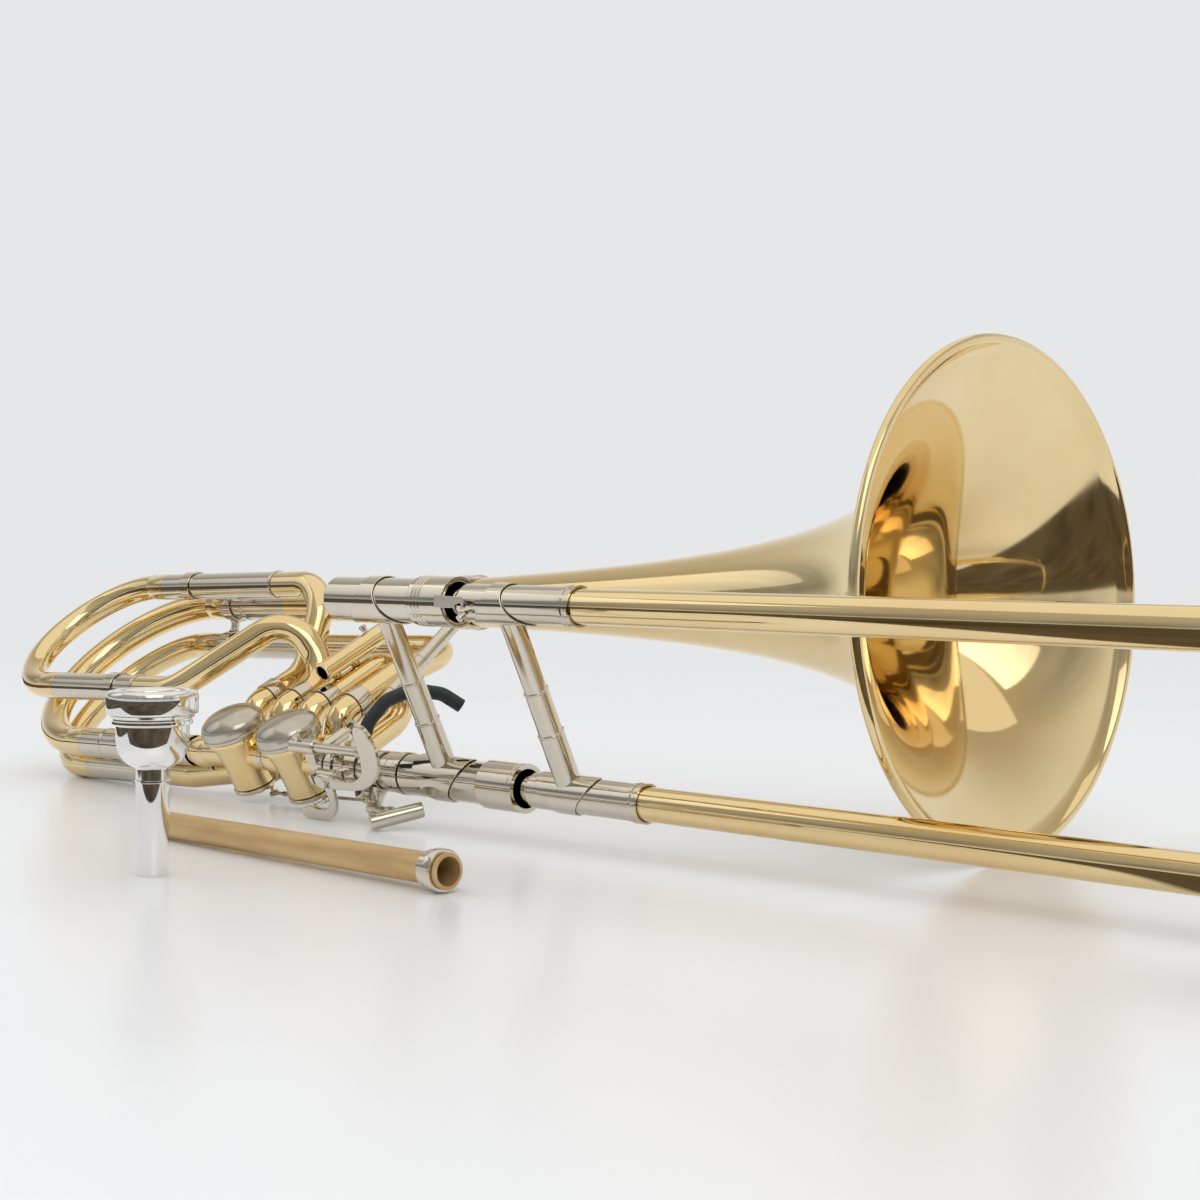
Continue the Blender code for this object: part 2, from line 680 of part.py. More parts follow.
def make_main_line():
    valve_gap = SLIDE_AXIS * GAP
    middle_start = main_line(REAR_VALVE_X) + SLIDE_AXIS * FRONT_STUB_REACH + valve_gap
    middle_end = main_line(FRONT_VALVE_X) - SLIDE_AXIS * BACK_STUB_REACH - valve_gap
    part("valve_link_tube", "nickel_silver", [
        sleeve(middle_start, middle_end, MAIN_RADIUS + 0.0002, MAIN_BORE)
    ])
    start = main_line(FRONT_VALVE_X) + SLIDE_AXIS * FRONT_STUB_REACH + valve_gap
    length = (lower_leg(-0.3025) - start).length
    profile = [
        (0.0, MAIN_RADIUS + 0.0003),
        (0.0217, MAIN_RADIUS + 0.0003),
        (0.0257, RECEIVER_RADIUS),
        (length, RECEIVER_RADIUS),
        (length, 0.0088),
        (0.0337, 0.0088),
        (0.0307, MAIN_BORE),
        (0.0, MAIN_BORE),
    ]
    part("bell_receiver", "nickel_silver", [turned(start, SLIDE_AXIS, profile, TUBE_SIDES, hollow=True)])
    nut_start = lower_leg(-0.3020)
    nut = [
        (0.0, 0.0100), (0.0006, 0.0106), (0.0100, 0.0106), (0.0108, 0.0112),
        (0.0144, 0.0112), (0.0144, 0.0088), (0.0, 0.0088),
    ]
    part("bell_lock_nut", "nickel_silver", [
        turned(nut_start, SLIDE_AXIS, nut, FINE_SIDES, hollow=True)
    ], nut_start)


def saddle(centre, axis, seat, length, sides=TUBE_SIDES):
    """The outside of a saddle; its seat is bored once the rods are united to it."""
    reach = axis * length / 2.0
    return rod(centre - reach, centre + reach, seat + SADDLE_WALL, sides)


def seat_bore(centre, axis, seat, sides=TUBE_SIDES):
    reach = axis * BRACE_SADDLE_LENGTH
    return rod(centre - reach, centre + reach, seat, sides)


def brace(name, x, tube_radius, finish):
    """Two saddles round the legs and the three-piece rod between them."""
    high, low = upper_leg(x), lower_leg(x)
    seat = tube_radius + GAP
    inner = seat + 0.0003
    down = (low - high).normalized()
    span = (low - high).length
    r = BRACE_ROD_RADIUS
    profile = [
        (inner, r), (span * 0.44, r), (span * 0.44, r + 0.0010), (span * 0.47, r + 0.0010),
        (span * 0.47, r + 0.0005), (span * 0.66, r + 0.0005), (span * 0.66, r + 0.0013),
        (span * 0.69, r + 0.0013), (span * 0.69, r + 0.0008), (span - inner, r + 0.0008),
    ]
    shaft = turned(high, down, profile, LOOP_SIDES)
    saddles = [saddle(spot, SLIDE_AXIS, seat, BRACE_SADDLE_LENGTH) for spot in (high, low)]
    bores = [seat_bore(spot, SLIDE_AXIS, seat) for spot in (high, low)]
    part(name, finish, [shaft] + saddles, Vector((0.0, 0.0, 0.0)), cuts=bores)


def make_barrel(name, leg, back_x, ringed):
    """Cork barrel: open at the front for the slide, closed round the inner tube behind."""
    start = leg(back_x)
    length = (leg(BARREL_FRONT_X) - start).length
    throat = INNER_TUBE_RADIUS + GAP
    ring_start = length - BARREL_RING_LENGTH
    profile = [
        (0.0, BARREL_RADIUS - 0.0006),
        (0.0008, BARREL_RADIUS),
        (ring_start - 0.0020, BARREL_RADIUS),
    ]
    if ringed:
        profile += [
            (ring_start, BARREL_FRONT_RADIUS),
            (length, BARREL_FRONT_RADIUS),
            (length, BARREL_CHAMBER),
        ]
    else:
        profile += [(length, BARREL_RADIUS), (length, BARREL_CHAMBER)]
    profile += [(length * 0.55, BARREL_CHAMBER), (length * 0.50, throat), (0.0, throat)]
    part(name, "nickel_silver", [turned(start, SLIDE_AXIS, profile, TUBE_SIDES, hollow=True)])


def make_inner_slide():
    """Both inner tubes, their cork barrels and the brace that the left hand holds."""
    for name, leg, back_x in (
        ("inner_tube_upper", upper_leg, UPPER_BARREL_BACK_X + 0.0005),
        ("inner_tube_lower", lower_leg, LOWER_BARREL_BACK_X - 0.0125),
    ):
        part(name, "nickel_silver", [
            sleeve(leg(back_x), leg(INNER_TUBE_FRONT_X), INNER_TUBE_RADIUS, INNER_TUBE_BORE)
        ])
    make_barrel("cork_barrel_upper", upper_leg, UPPER_BARREL_BACK_X, False)
    make_barrel("cork_barrel_lower", lower_leg, LOWER_BARREL_BACK_X, True)
    part("slide_tenon", "nickel_silver", [sleeve(
        lower_leg(LOWER_BARREL_BACK_X - TENON_LENGTH), lower_leg(LOWER_BARREL_BACK_X - GAP),
        TENON_RADIUS, INNER_TUBE_RADIUS + GAP,
    )])
    brace("inner_brace", INNER_BRACE_X, BARREL_RADIUS, "nickel_silver")


def make_lock_ring():
    """The turning ring on the upper barrel, with the hooked tongue of the slide lock."""
    start = upper_leg(BARREL_FRONT_X - BARREL_RING_LENGTH)
    length = BARREL_RING_LENGTH + 0.0003
    bore = BARREL_RADIUS + GAP
    collar = turned(start, SLIDE_AXIS, [
        (0.0, bore + 0.0006), (0.0006, BARREL_FRONT_RADIUS), (length, BARREL_FRONT_RADIUS),
        (length, bore), (0.0, bore),
    ], FINE_SIDES, hollow=True)
    outward = (-P_AXIS * cos(radians(28.0)) + Q_AXIS * sin(radians(28.0))).normalized()
    beside = SLIDE_AXIS.cross(outward)
    root = upper_leg(BARREL_FRONT_X - 0.004) + outward * (BARREL_FRONT_RADIUS - 0.0004)
    tongue = slab([
        (0.0, -0.0035), (0.0205, -0.0030), (0.0205, 0.0030), (0.0184, 0.0035),
        (0.0184, 0.0004), (0.0146, 0.0004), (0.0146, 0.0035), (0.0, 0.0035),
    ], root, SLIDE_AXIS, beside, 0.0014)
    part("slide_lock_ring", "nickel_silver", [collar, tongue], start)
    stud_turn = radians(28.0 - 34.0)
    stud_way = (-P_AXIS * cos(stud_turn) + Q_AXIS * sin(stud_turn)).normalized()
    stud_foot = upper_leg(SLEEVE_BACK_X + 0.0055)
    stud = turned(stud_foot, stud_way, [
        (SLEEVE_RADIUS + GAP, 0.0012), (0.0132, 0.0012), (0.0132, 0.0019), (0.0140, 0.0016),
    ], SMALL_SIDES)
    part("lock_stud", "nickel_silver", [stud])


def make_outer_slide():
    tube_front = CROOK_START_X
    for name, leg in (("upper", upper_leg), ("lower", lower_leg)):
        tube = sleeve(leg(SLEEVE_BACK_X), leg(tube_front), OUTER_TUBE_RADIUS, OUTER_TUBE_BORE)
        fittings = water_key_fittings() if name == "lower" else []
        part(f"outer_tube_{name}", "lacquered_brass", [tube] + fittings)
        start = leg(SLEEVE_BACK_X)
        length = (leg(SLEEVE_FRONT_X) - start).length
        bead = SLEEVE_RADIUS + 0.0006
        bore = OUTER_TUBE_RADIUS + GAP
        profile = [
            (0.0, SLEEVE_RADIUS), (length - BEAD_WIDTH, SLEEVE_RADIUS),
            (length - BEAD_WIDTH, bead), (length, bead), (length, bore), (0.0, bore),
        ]
        part(f"outer_sleeve_{name}", "nickel_silver", [
            turned(start, SLIDE_AXIS, profile, TUBE_SIDES, hollow=True)
        ])
    brace("outer_brace", OUTER_BRACE_X, SLEEVE_RADIUS, "nickel_silver")
    crook_start = tube_front + GAP
    bend_start = crook_start + CROOK_LEAD
    curve = half_turn(lower_leg(bend_start), upper_leg(bend_start), SLIDE_AXIS, 8)
    route = [lower_leg(crook_start)] + curve + [upper_leg(crook_start)]
    wall = OUTER_TUBE_RADIUS - OUTER_TUBE_BORE
    part("slide_crook", "lacquered_brass", [piped(route, OUTER_TUBE_RADIUS, wall)])
    tip = curve[4]
    guard = turned(tip, SLIDE_AXIS, [
        (OUTER_TUBE_RADIUS + GAP, 0.0045), (0.0100, 0.0050), (0.0145, 0.0060),
        (0.0165, 0.0052), (0.0175, 0.0030),
    ], LOOP_SIDES)
    part("crook_bumper", "black_rubber", [guard])


def water_key_fittings():
    """The drain nipple and the two ears, soldered under the lower leg."""
    below = -Q_AXIS
    sunk = OUTER_TUBE_RADIUS - 0.0003
    nipple = turned(lower_leg(DRAIN_X), below, [
        (sunk, 0.0042), (0.0100, 0.0036), (0.0110, 0.0036), (0.0110, 0.0018), (sunk, 0.0018),
    ], SMALL_SIDES, hollow=True)
    ears = [
        slab([
            (-0.0028, sunk - 0.0012), (0.0028, sunk - 0.0012), (0.0020, 0.0135), (-0.0020, 0.0135),
        ], lower_leg(WATER_KEY_X) + P_AXIS * side * 0.0042, SLIDE_AXIS, below, 0.0012)
        for side in (-1, 1)
    ]
    return [nipple] + ears


def make_water_key():
    """A sprung lever under the lower leg, with its cork over the drain nipple."""
    below = -Q_AXIS
    pivot = lower_leg(WATER_KEY_X) + below * 0.0118
    lever = slab([
        (-0.0220, -0.0004), (0.0195, 0.0018), (0.0195, 0.0034), (-0.0060, 0.0032),
        (-0.0220, 0.0012),
    ], pivot, SLIDE_AXIS, below, 0.0044)
    pad = turned(lower_leg(DRAIN_X), below, [(0.0113, 0.0036), (0.0145, 0.0036)], SMALL_SIDES)
    axle = rod(pivot - P_AXIS * 0.0033, pivot + P_AXIS * 0.0033, 0.0010, 8)
    part("water_key", "nickel_silver", [lever, pad, axle], pivot)


def make_braces():
    """The bell brace, and the braces that tie the loops to the tuning sleeves."""
    foot, head = main_line(BELL_BRACE_X), bell_line(BELL_BRACE_X)
    way = (head - foot).normalized()
    span = (head - foot).length
    seat = MAIN_RADIUS + 0.0003 + GAP
    bell_seat = flare_radius(BELL_BRACE_X) + BELL_SEAT_CLEARANCE
    low_saddle = saddle(foot, SLIDE_AXIS, seat, 0.0086)
    high_saddle = saddle(head, BELL_AXIS, bell_seat, 0.0120)
    shaft = turned(foot, way, [
        (seat, 0.0042), (span * 0.42, 0.0042), (span * 0.42, 0.0046), (span * 0.45, 0.0046),
        (span * 0.45, 0.0044), (span * 0.62, 0.0044), (span * 0.62, 0.0047),
        (span * 0.65, 0.0047), (span * 0.65, 0.0042), (span - bell_seat, 0.0042),
    ], LOOP_SIDES)
    bores = [seat_bore(foot, SLIDE_AXIS, seat), seat_bore(head, BELL_AXIS, bell_seat)]
    part("bell_brace", "nickel_silver", [shaft, low_saddle, high_saddle], cuts=bores)
    tie("wrap_brace", WRAP_BRACE_X, (TAIL, TAIL_SLEEVE_RADIUS), [
        (GB_UPPER, LOOP_SLEEVE_RADIUS), (F_UPPER, LOOP_SLEEVE_RADIUS),
    ])
    tie("lower_wrap_brace", LOWER_BRACE_X, (MAIN_OFFSET, MAIN_SLEEVE_RADIUS), [
        (GB_LOWER, LOOP_SLEEVE_RADIUS), (F_LOWER, LOOP_SLEEVE_RADIUS),
    ])


def tie(name, x, middle, others):
    """A saddle on each of three tubes, with rods from the middle one to the others."""
    ends = [middle] + others
    shapes, bores = [], []
    for offset, radius in ends:
        spot = bell_line(x, offset)
        shapes.append(saddle(spot, BELL_AXIS, radius + GAP, 0.0090, LOOP_SIDES))
        bores.append(seat_bore(spot, BELL_AXIS, radius + GAP, LOOP_SIDES))
    start = bell_line(x, middle[0])
    for offset, radius in others:
        end = bell_line(x, offset)
        way = (end - start).normalized()
        shapes.append(rod(start + way * middle[1], end - way * radius, TIE_ROD_RADIUS))
    part(name, "nickel_silver", shapes, cuts=bores)


def make_hand_rest_socket():
    """The open tube with a set screw that takes a hand rest, carried on the loop beside it."""
    x = FRONT_VALVE_X - PORT_SPACING
    open_end = main_line(x, SOCKET_OPEN_P, SOCKET_Q)
    far_end = main_line(x, SOCKET_FAR_P, SOCKET_Q)
    shapes = [sleeve(open_end, far_end, SOCKET_RADIUS, SOCKET_BORE)]
    for p in (0.053, 0.068):
        shapes.append(rod(
            main_line(x, p, PORT_Q + LOOP_RADIUS + GAP),
            main_line(x, p, SOCKET_Q - SOCKET_BORE - 0.0006), 0.0028,
        ))
    part("hand_rest_socket", "lacquered_brass", shapes)
    screw_way = (Q_AXIS - SLIDE_AXIS * 0.35).normalized()
    screw_foot = main_line(x, 0.084, SOCKET_Q)
    part("socket_screw", "nickel_silver", [turned(screw_foot, screw_way, [
        (SOCKET_RADIUS + GAP, 0.0016), (0.0076, 0.0016), (0.0080, 0.0022), (0.0096, 0.0022),
        (0.0100, 0.0016),
    ], SMALL_SIDES)])


def strap(points, widths, origin, right, up, thickness):
    """A flat strap along a centre line of (right, up) points, with a width at each."""
    lefts, rights = [], []
    for count, (point, width) in enumerate(zip(points, widths)):
        before = Vector(points[max(count - 1, 0)])
        after = Vector(points[min(count + 1, len(points) - 1)])
        along = (after - before).normalized()
        offset = Vector((-along.y, along.x)) * width / 2.0
        lefts.append(Vector(point) + offset)
        rights.append(Vector(point) - offset)
    outline = [tuple(corner) for corner in lefts + rights[::-1]]
    return slab(outline, origin, right, up, thickness)


def make_levers():
    """Bearings, the thumb lever with its grip, the paddle lever and their drive arms."""
    thumb_axis = main_line(THUMB_PIVOT_X, 0.0, THUMB_PIVOT_Q)
    paddle_axis = main_line(PADDLE_PIVOT_X, PADDLE_PIVOT_P, PADDLE_PIVOT_Q)
    bearing_bore = 0.0019
    thumb_bearing = sleeve(
        thumb_axis - P_AXIS * 0.0125, thumb_axis + P_AXIS * 0.0105, 0.0034, bearing_bore, 14
    )
    thumb_seat = MAIN_RADIUS + 0.0003 + GAP
    thumb_saddle = saddle(main_line(THUMB_PIVOT_X), SLIDE_AXIS, thumb_seat, 0.0056)
    thumb_post = rod(
        main_line(THUMB_PIVOT_X, 0.0, thumb_seat), thumb_axis - Q_AXIS * 0.0026, 0.0024, 10
    )
    paddle_seat = RECEIVER_RADIUS + GAP
    paddle_bearing = sleeve(
        paddle_axis - SLIDE_AXIS * 0.0070, paddle_axis + SLIDE_AXIS * 0.0070,
        0.0034, bearing_bore, SMALL_SIDES,
    )
    paddle_saddle = saddle(main_line(PADDLE_PIVOT_X), SLIDE_AXIS, paddle_seat, 0.0090)
    inward = (main_line(PADDLE_PIVOT_X) - paddle_axis).normalized()
    paddle_post = rod(
        paddle_axis + inward * 0.0026,
        main_line(PADDLE_PIVOT_X) - inward * (paddle_seat + 0.0002), 0.0024, SMALL_SIDES,
    )
    part(
        "thumb_lever_bearing", "nickel_silver", [thumb_bearing, thumb_saddle, thumb_post],
        cuts=[seat_bore(main_line(THUMB_PIVOT_X), SLIDE_AXIS, thumb_seat)],
    )
    part(
        "paddle_lever_bearing", "nickel_silver", [paddle_bearing, paddle_saddle, paddle_post],
        cuts=[seat_bore(main_line(PADDLE_PIVOT_X), SLIDE_AXIS, paddle_seat)],
    )

    near = -P_AXIS * 0.0150
    cheek = slab([
        (-0.0040, -0.0040), (0.0040, -0.0040), (0.0060, 0.0100), (-0.0020, 0.0100),
    ], thumb_axis + near, SLIDE_AXIS, Q_AXIS, 0.0028)
    rod_line = thumb_axis + near + Q_AXIS * 0.0065
    socket = rod(rod_line - SLIDE_AXIS * 0.0120, rod_line + SLIDE_AXIS * 0.0080, 0.0040, SMALL_SIDES)
    grip_start = main_line(GRIP_START_X, -0.0150, THUMB_PIVOT_Q + 0.0065)
    reach = rod(rod_line, grip_start, 0.0026, SMALL_SIDES)
    elbow = ball(grip_start, ELBOW_RADIUS, SLIDE_AXIS)
    axle = rod(thumb_axis + near, thumb_axis + P_AXIS * (DRIVE_P + 0.0010), bearing_bore - 0.0004, SMALL_SIDES)
    drive = strap(
        [(0.0, 0.0040), (0.0008, -0.0100), (0.0, REAR_LINK_Q - THUMB_PIVOT_Q - 0.0022)],
        [0.0075, 0.0042, 0.0046], thumb_axis + P_AXIS * DRIVE_P, SLIDE_AXIS, Q_AXIS, 0.0026,
    )
    part("thumb_lever", "nickel_silver", [cheek, socket, reach, elbow, axle, drive], thumb_axis)
    grip_bend = main_line(-0.300, -0.0040, 0.0325)
    grip_path = [
        grip_start + (grip_bend - grip_start).normalized() * (ELBOW_RADIUS + GAP),
        grip_bend,
        main_line(-0.297, 0.0090, 0.0380),
        main_line(-0.291, 0.0230, 0.0370),
        main_line(-0.283, 0.0340, 0.0290),
        main_line(-0.277, 0.0385, 0.0195),
    ]
    part("thumb_lever_grip", "black_rubber", [
        piped(bent_route(grip_path, 0.0120, radians(20.0)), GRIP_RADIUS, sides=SMALL_SIDES)
    ], thumb_axis)

    plate = paddle_axis - P_AXIS * PADDLE_PLATE_P
    arm = strap(
        [(0.0, 0.0), (0.016, -0.0005), (0.032, 0.0015), (0.043, 0.0080), (0.049, 0.0180),
         (0.051, 0.0290), (0.050, 0.0370)],
        [0.0080, 0.0060, 0.0062, 0.0080, 0.0115, 0.0130, 0.0080],
        plate, SLIDE_AXIS, Q_AXIS, 0.0026,
    )
    tail_q = PADDLE_TAIL_Q - PADDLE_PIVOT_Q
    tail = strap(
        [(0.004, 0.002), (0.002, -0.0120), (-0.004, tail_q + 0.0010), (-0.0180, tail_q),
         (PADDLE_TAIL_X - PADDLE_PIVOT_X - 0.003, tail_q)],
        [0.0080, 0.0055, 0.0060, 0.0050, 0.0045], plate, SLIDE_AXIS, Q_AXIS, 0.0026,
    )
    hub = rod(
        plate - P_AXIS * 0.0010, plate + P_AXIS * 0.0020, 0.0040, 14
    )
    pin = rod(
        paddle_axis - SLIDE_AXIS * 0.0090, paddle_axis + SLIDE_AXIS * 0.0090,
        bearing_bore - 0.0004, SMALL_SIDES,
    )
    ears = [
        slab([
            (-0.0030, -0.0030), (PADDLE_PLATE_P + 0.0006, -0.0030),
            (PADDLE_PLATE_P + 0.0006, 0.0030), (-0.0030, 0.0030),
        ], paddle_axis + SLIDE_AXIS * side * 0.0083, -P_AXIS, Q_AXIS, 0.0020)
        for side in (-1, 1)
    ]
    part("paddle_lever", "nickel_silver", [arm, tail, hub, pin] + ears, paddle_axis)


def make_links():
    """The two drive rods, each with an eye or ball at both ends."""
    turn = radians(45.0)
    arm = ROTOR_ARM_LENGTH
    front_pin = main_line(FRONT_VALVE_X) + SLIDE_AXIS * arm * cos(turn) + P_AXIS * arm * sin(turn)
    front_pin += Q_AXIS * FRONT_LINK_Q
    tail = main_line(PADDLE_TAIL_X, PADDLE_PIVOT_P - PADDLE_PLATE_P + 0.0046, PADDLE_TAIL_Q)
    make_link("front_link", front_pin, tail)
    rear_pin = main_line(REAR_VALVE_X) + SLIDE_AXIS * arm * cos(turn) + P_AXIS * arm * sin(turn)
    rear_pin += Q_AXIS * REAR_LINK_Q
    drive = main_line(THUMB_PIVOT_X, REAR_LINK_P, REAR_LINK_Q)
    make_link("rear_link", rear_pin, drive)


def make_link(name, pin, far):
    eye = sleeve(pin - Q_AXIS * 0.0010, pin + Q_AXIS * 0.0010, 0.0027, 0.0014, SMALL_SIDES)
    way = (far - pin).normalized()
    rod_body = rod(pin + way * 0.0021, far, 0.0010, 6)
    joint = ball(far, 0.0019, way)
    nut = rod(far - way * 0.0065, far - way * 0.0035, 0.0017, 6)
    part(name, "nickel_silver", [eye, rod_body, joint, nut], pin)


def make_t_bar():
    """The hand bar under the lever hand: its socket, the swivelling T and the clamp screw."""
    centre = main_line(T_BAR_X)
    way = (-P_AXIS * cos(T_SOCKET_TURN) - Q_AXIS * sin(T_SOCKET_TURN)).normalized()
    seat = RECEIVER_RADIUS + GAP
    collar = saddle(centre, SLIDE_AXIS, seat, 0.0110)
    stem = turned(centre, way, [(seat, 0.0050), (T_SOCKET_END, 0.0050)], LOOP_SIDES)
    hole = rod(centre, centre + way * 0.02, T_STEM_RADIUS + GAP)
    part("t_bar_socket", "nickel_silver", [collar, stem], centre, cuts=[
        seat_bore(centre, SLIDE_AXIS, seat), hole,
    ])
    swivel = centre + way * (T_SOCKET_END + GAP)
    peg = rod(swivel - way * 0.0050, swivel + way * 0.0010, T_STEM_RADIUS)
    flange = turned(swivel, way, [(0.0, 0.0046), (0.0014, 0.0042)], LOOP_SIDES)
    corner = swivel + way * 0.0045
    stalk = piped(bent_route([swivel + way * 0.0006, corner, T_BAR_CENTRE], 0.0034), T_STALK_RADIUS)
    bar_way = T_BAR_WAY.normalized()
    half = bar_way * T_BAR_LENGTH / 2.0
    cross = turned(T_BAR_CENTRE - half, bar_way, [
        (0.0, 0.0036), (0.0008, 0.0043), (T_BAR_LENGTH - 0.0008, 0.0043), (T_BAR_LENGTH, 0.0036),
    ], LOOP_SIDES)
    part("t_bar", "nickel_silver", [stalk, peg, flange, cross], swivel)
    screw_way = SLIDE_AXIS.cross(way)
    if screw_way.z < 0.0:
        screw_way = -screw_way
    part("t_bar_screw", "nickel_silver", [turned(centre + way * (T_SOCKET_END - 0.0024), screw_way, [
        (0.0050 + GAP, 0.0016), (0.0072, 0.0016), (0.0074, 0.0036), (0.0112, 0.0036),
        (0.0118, 0.0028),
    ], SMALL_SIDES)])


def make_mouthpiece():
    """Shank down on the table: a tapering shank, a bowl, a step and a rounded rim."""
    tip = Vector((MOUTHPIECE_AT[0], MOUTHPIECE_AT[1], 0.0))
    top = MOUTHPIECE_LENGTH
    outside = [
        (0.0, 0.0067), (0.0385, 0.0080), (0.0390, 0.0074), (0.0455, 0.0076),
        (0.0500, 0.0124), (0.0545, 0.0151), (0.0600, 0.0163),
        (0.0672, 0.0166), (0.0676, 0.0181), (0.0692, 0.0181), (0.0698, 0.0172),
        (0.0720, 0.0197), (top - 0.0032, 0.0199), (top - 0.0011, 0.0192),
        (top, 0.0174), (top - 0.0014, 0.0143),
    ]
    cup = [
        (top - 0.0090, 0.0131), (0.0600, 0.0110), (0.0520, 0.0060),
        (0.0485, 0.0038), (0.0440, 0.0036), (0.0, 0.0056),
    ]
    up = Vector((0.0, 0.0, 1.0))
    part("mouthpiece", "silver_plate", [turned(tip, up, outside + cup, FINE_SIDES, hollow=True)], tip)


def make_leadpipe():
    way = (LEADPIPE_BACK - LEADPIPE_FRONT).normalized()
    length = (LEADPIPE_BACK - LEADPIPE_FRONT).length
    pipe = turned(LEADPIPE_FRONT, way, [
        (0.0, 0.0077), (0.0020, 0.0077), (0.0020, 0.0067), (length, 0.0064),
        (length, 0.0059), (0.0400, 0.0056), (0.0, 0.0062),
    ], TUBE_SIDES, hollow=True)
    part("leadpipe", "raw_brass", [pipe], LEADPIPE_FRONT)
    seam = 0.0020 + GAP
    collar = turned(LEADPIPE_FRONT, way, [
        (seam, COLLAR_RADIUS - 0.0003), (seam + 0.0004, COLLAR_RADIUS),
        (COLLAR_LENGTH * 0.62, COLLAR_RADIUS), (COLLAR_LENGTH * 0.66, COLLAR_RADIUS - 0.0010),
        (COLLAR_LENGTH, COLLAR_RADIUS - 0.0010), (COLLAR_LENGTH, 0.0069), (seam, 0.0069),
    ], FINE_SIDES, hollow=True)
    part("leadpipe_collar", "nickel_silver", [collar], LEADPIPE_FRONT)


def centre_on_origin():
    """Move the carrier so that the footprint's centre is over the origin."""
    bpy.context.view_layer.update()
    depsgraph = bpy.context.evaluated_depsgraph_get()
    low = Vector((1.0, 1.0, 1.0)) * 9.0
    high = -low
    for item in bpy.data.objects:
        if item.type != "MESH" or item.hide_render:
            continue
        shown = item.evaluated_get(depsgraph)
        for vertex in shown.data.vertices:
            spot = shown.matrix_world @ vertex.co
            low = Vector(min(pair) for pair in zip(low, spot))
            high = Vector(max(pair) for pair in zip(high, spot))
    middle = (low + high) / 2.0
    CARRIER.location = (-middle.x, -middle.y, -low.z)


def build():
    make_bell()
    make_sleeves()
    make_tuning_slides()
    make_loop_tubes()
    for name, valve_x, back_reach, knuckle in (
        ("front", FRONT_VALVE_X, BACK_STUB_REACH, 0.0175),
        ("rear", REAR_VALVE_X, REAR_STUB_REACH, 0.0365),
    ):
        make_valve(name, valve_x, back_reach, knuckle)
    make_rotor("front", FRONT_VALVE_X, radians(45.0), -FRONT_LINK_Q + ROTOR_ARM_Q + 0.0010)
    make_rotor("rear", REAR_VALVE_X, radians(45.0), -REAR_LINK_Q + ROTOR_ARM_Q + 0.0010)
    make_main_line()
    make_inner_slide()
    make_lock_ring()
    make_outer_slide()
    make_water_key()
    make_braces()
    make_hand_rest_socket()
    make_levers()
    make_links()
    make_t_bar()
    make_mouthpiece()
    make_leadpipe()
    centre_on_origin()


clear_scene()
CARRIER = bpy.data.objects.new("bass_trombone", None)
bpy.context.scene.collection.objects.link(CARRIER)
build()
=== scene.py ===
"""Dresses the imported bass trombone: fine pieces over the solids, metal finishes and a studio."""
import json
from math import ceil, cos, pi, radians, sin, tan

import bmesh
import bpy
from bpy.props import FloatProperty, FloatVectorProperty, PointerProperty
from mathutils import Matrix, Vector


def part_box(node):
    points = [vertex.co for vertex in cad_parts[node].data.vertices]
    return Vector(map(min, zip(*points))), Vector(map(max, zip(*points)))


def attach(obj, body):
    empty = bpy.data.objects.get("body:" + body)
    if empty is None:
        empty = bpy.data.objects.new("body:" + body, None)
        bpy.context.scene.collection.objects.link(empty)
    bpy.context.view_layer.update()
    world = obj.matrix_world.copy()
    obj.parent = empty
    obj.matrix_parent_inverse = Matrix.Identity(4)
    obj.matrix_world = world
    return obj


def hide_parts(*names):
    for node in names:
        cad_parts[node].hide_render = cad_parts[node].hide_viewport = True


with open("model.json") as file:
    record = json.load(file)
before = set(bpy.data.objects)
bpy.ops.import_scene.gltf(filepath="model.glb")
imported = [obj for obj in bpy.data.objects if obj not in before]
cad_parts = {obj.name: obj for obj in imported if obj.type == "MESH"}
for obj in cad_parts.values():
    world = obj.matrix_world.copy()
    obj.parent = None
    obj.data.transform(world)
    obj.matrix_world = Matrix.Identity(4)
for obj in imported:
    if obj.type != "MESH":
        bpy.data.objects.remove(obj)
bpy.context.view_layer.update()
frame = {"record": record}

bl_info = {
    "name": "Bass Trombone",
    "version": (1, 0, 0),
    "blender": (4, 5, 0),
    "location": "View3D > Sidebar > Trombone",
    "description": "Makes the pieces and finishes of a bass trombone over its packed solids",
    "category": "Add Mesh",
}

# Lines of the instrument, in metres from the point under the bell's mouth
SLIDE_FALL = 0.0098
BELL_RISE = 0.0209
LEAN = radians(26.2)
MOUTH_RADIUS = 0.12065
RIM_WIRE = 0.0025
LOWER_LEG_Y = -0.1073
LOWER_LEG_Z = 0.0242
LEG_SPACING = 0.1025
BEND_X = -0.445
FRONT_VALVE_X = -0.380
REAR_VALVE_X = -0.430
PORT_SPACING = 0.0130
PORT_Q = 0.014
PORT_END_P = 0.036
MOUTHPIECE_AT = Vector((-0.251, -0.2895, 0.0))

P_AXIS = Vector((0.0, cos(LEAN), sin(LEAN)))
Q_AXIS = Vector((0.0, -sin(LEAN), cos(LEAN)))
UP = Vector((0.0, 0.0, 1.0))
SLIDE_AXIS = Vector((1.0, 0.0, -SLIDE_FALL)).normalized()
BELL_AXIS = Vector((1.0, 0.0, BELL_RISE)).normalized()
BELL_AXIS_Z = (MOUTH_RADIUS - RIM_WIRE) * BELL_AXIS.x + RIM_WIRE

FOOT_LOW, FOOT_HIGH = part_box("mouthpiece")
CORNER = (Vector(FOOT_LOW) + Vector(FOOT_HIGH)) / 2.0 - MOUTHPIECE_AT
CORNER.z = FOOT_LOW[2]

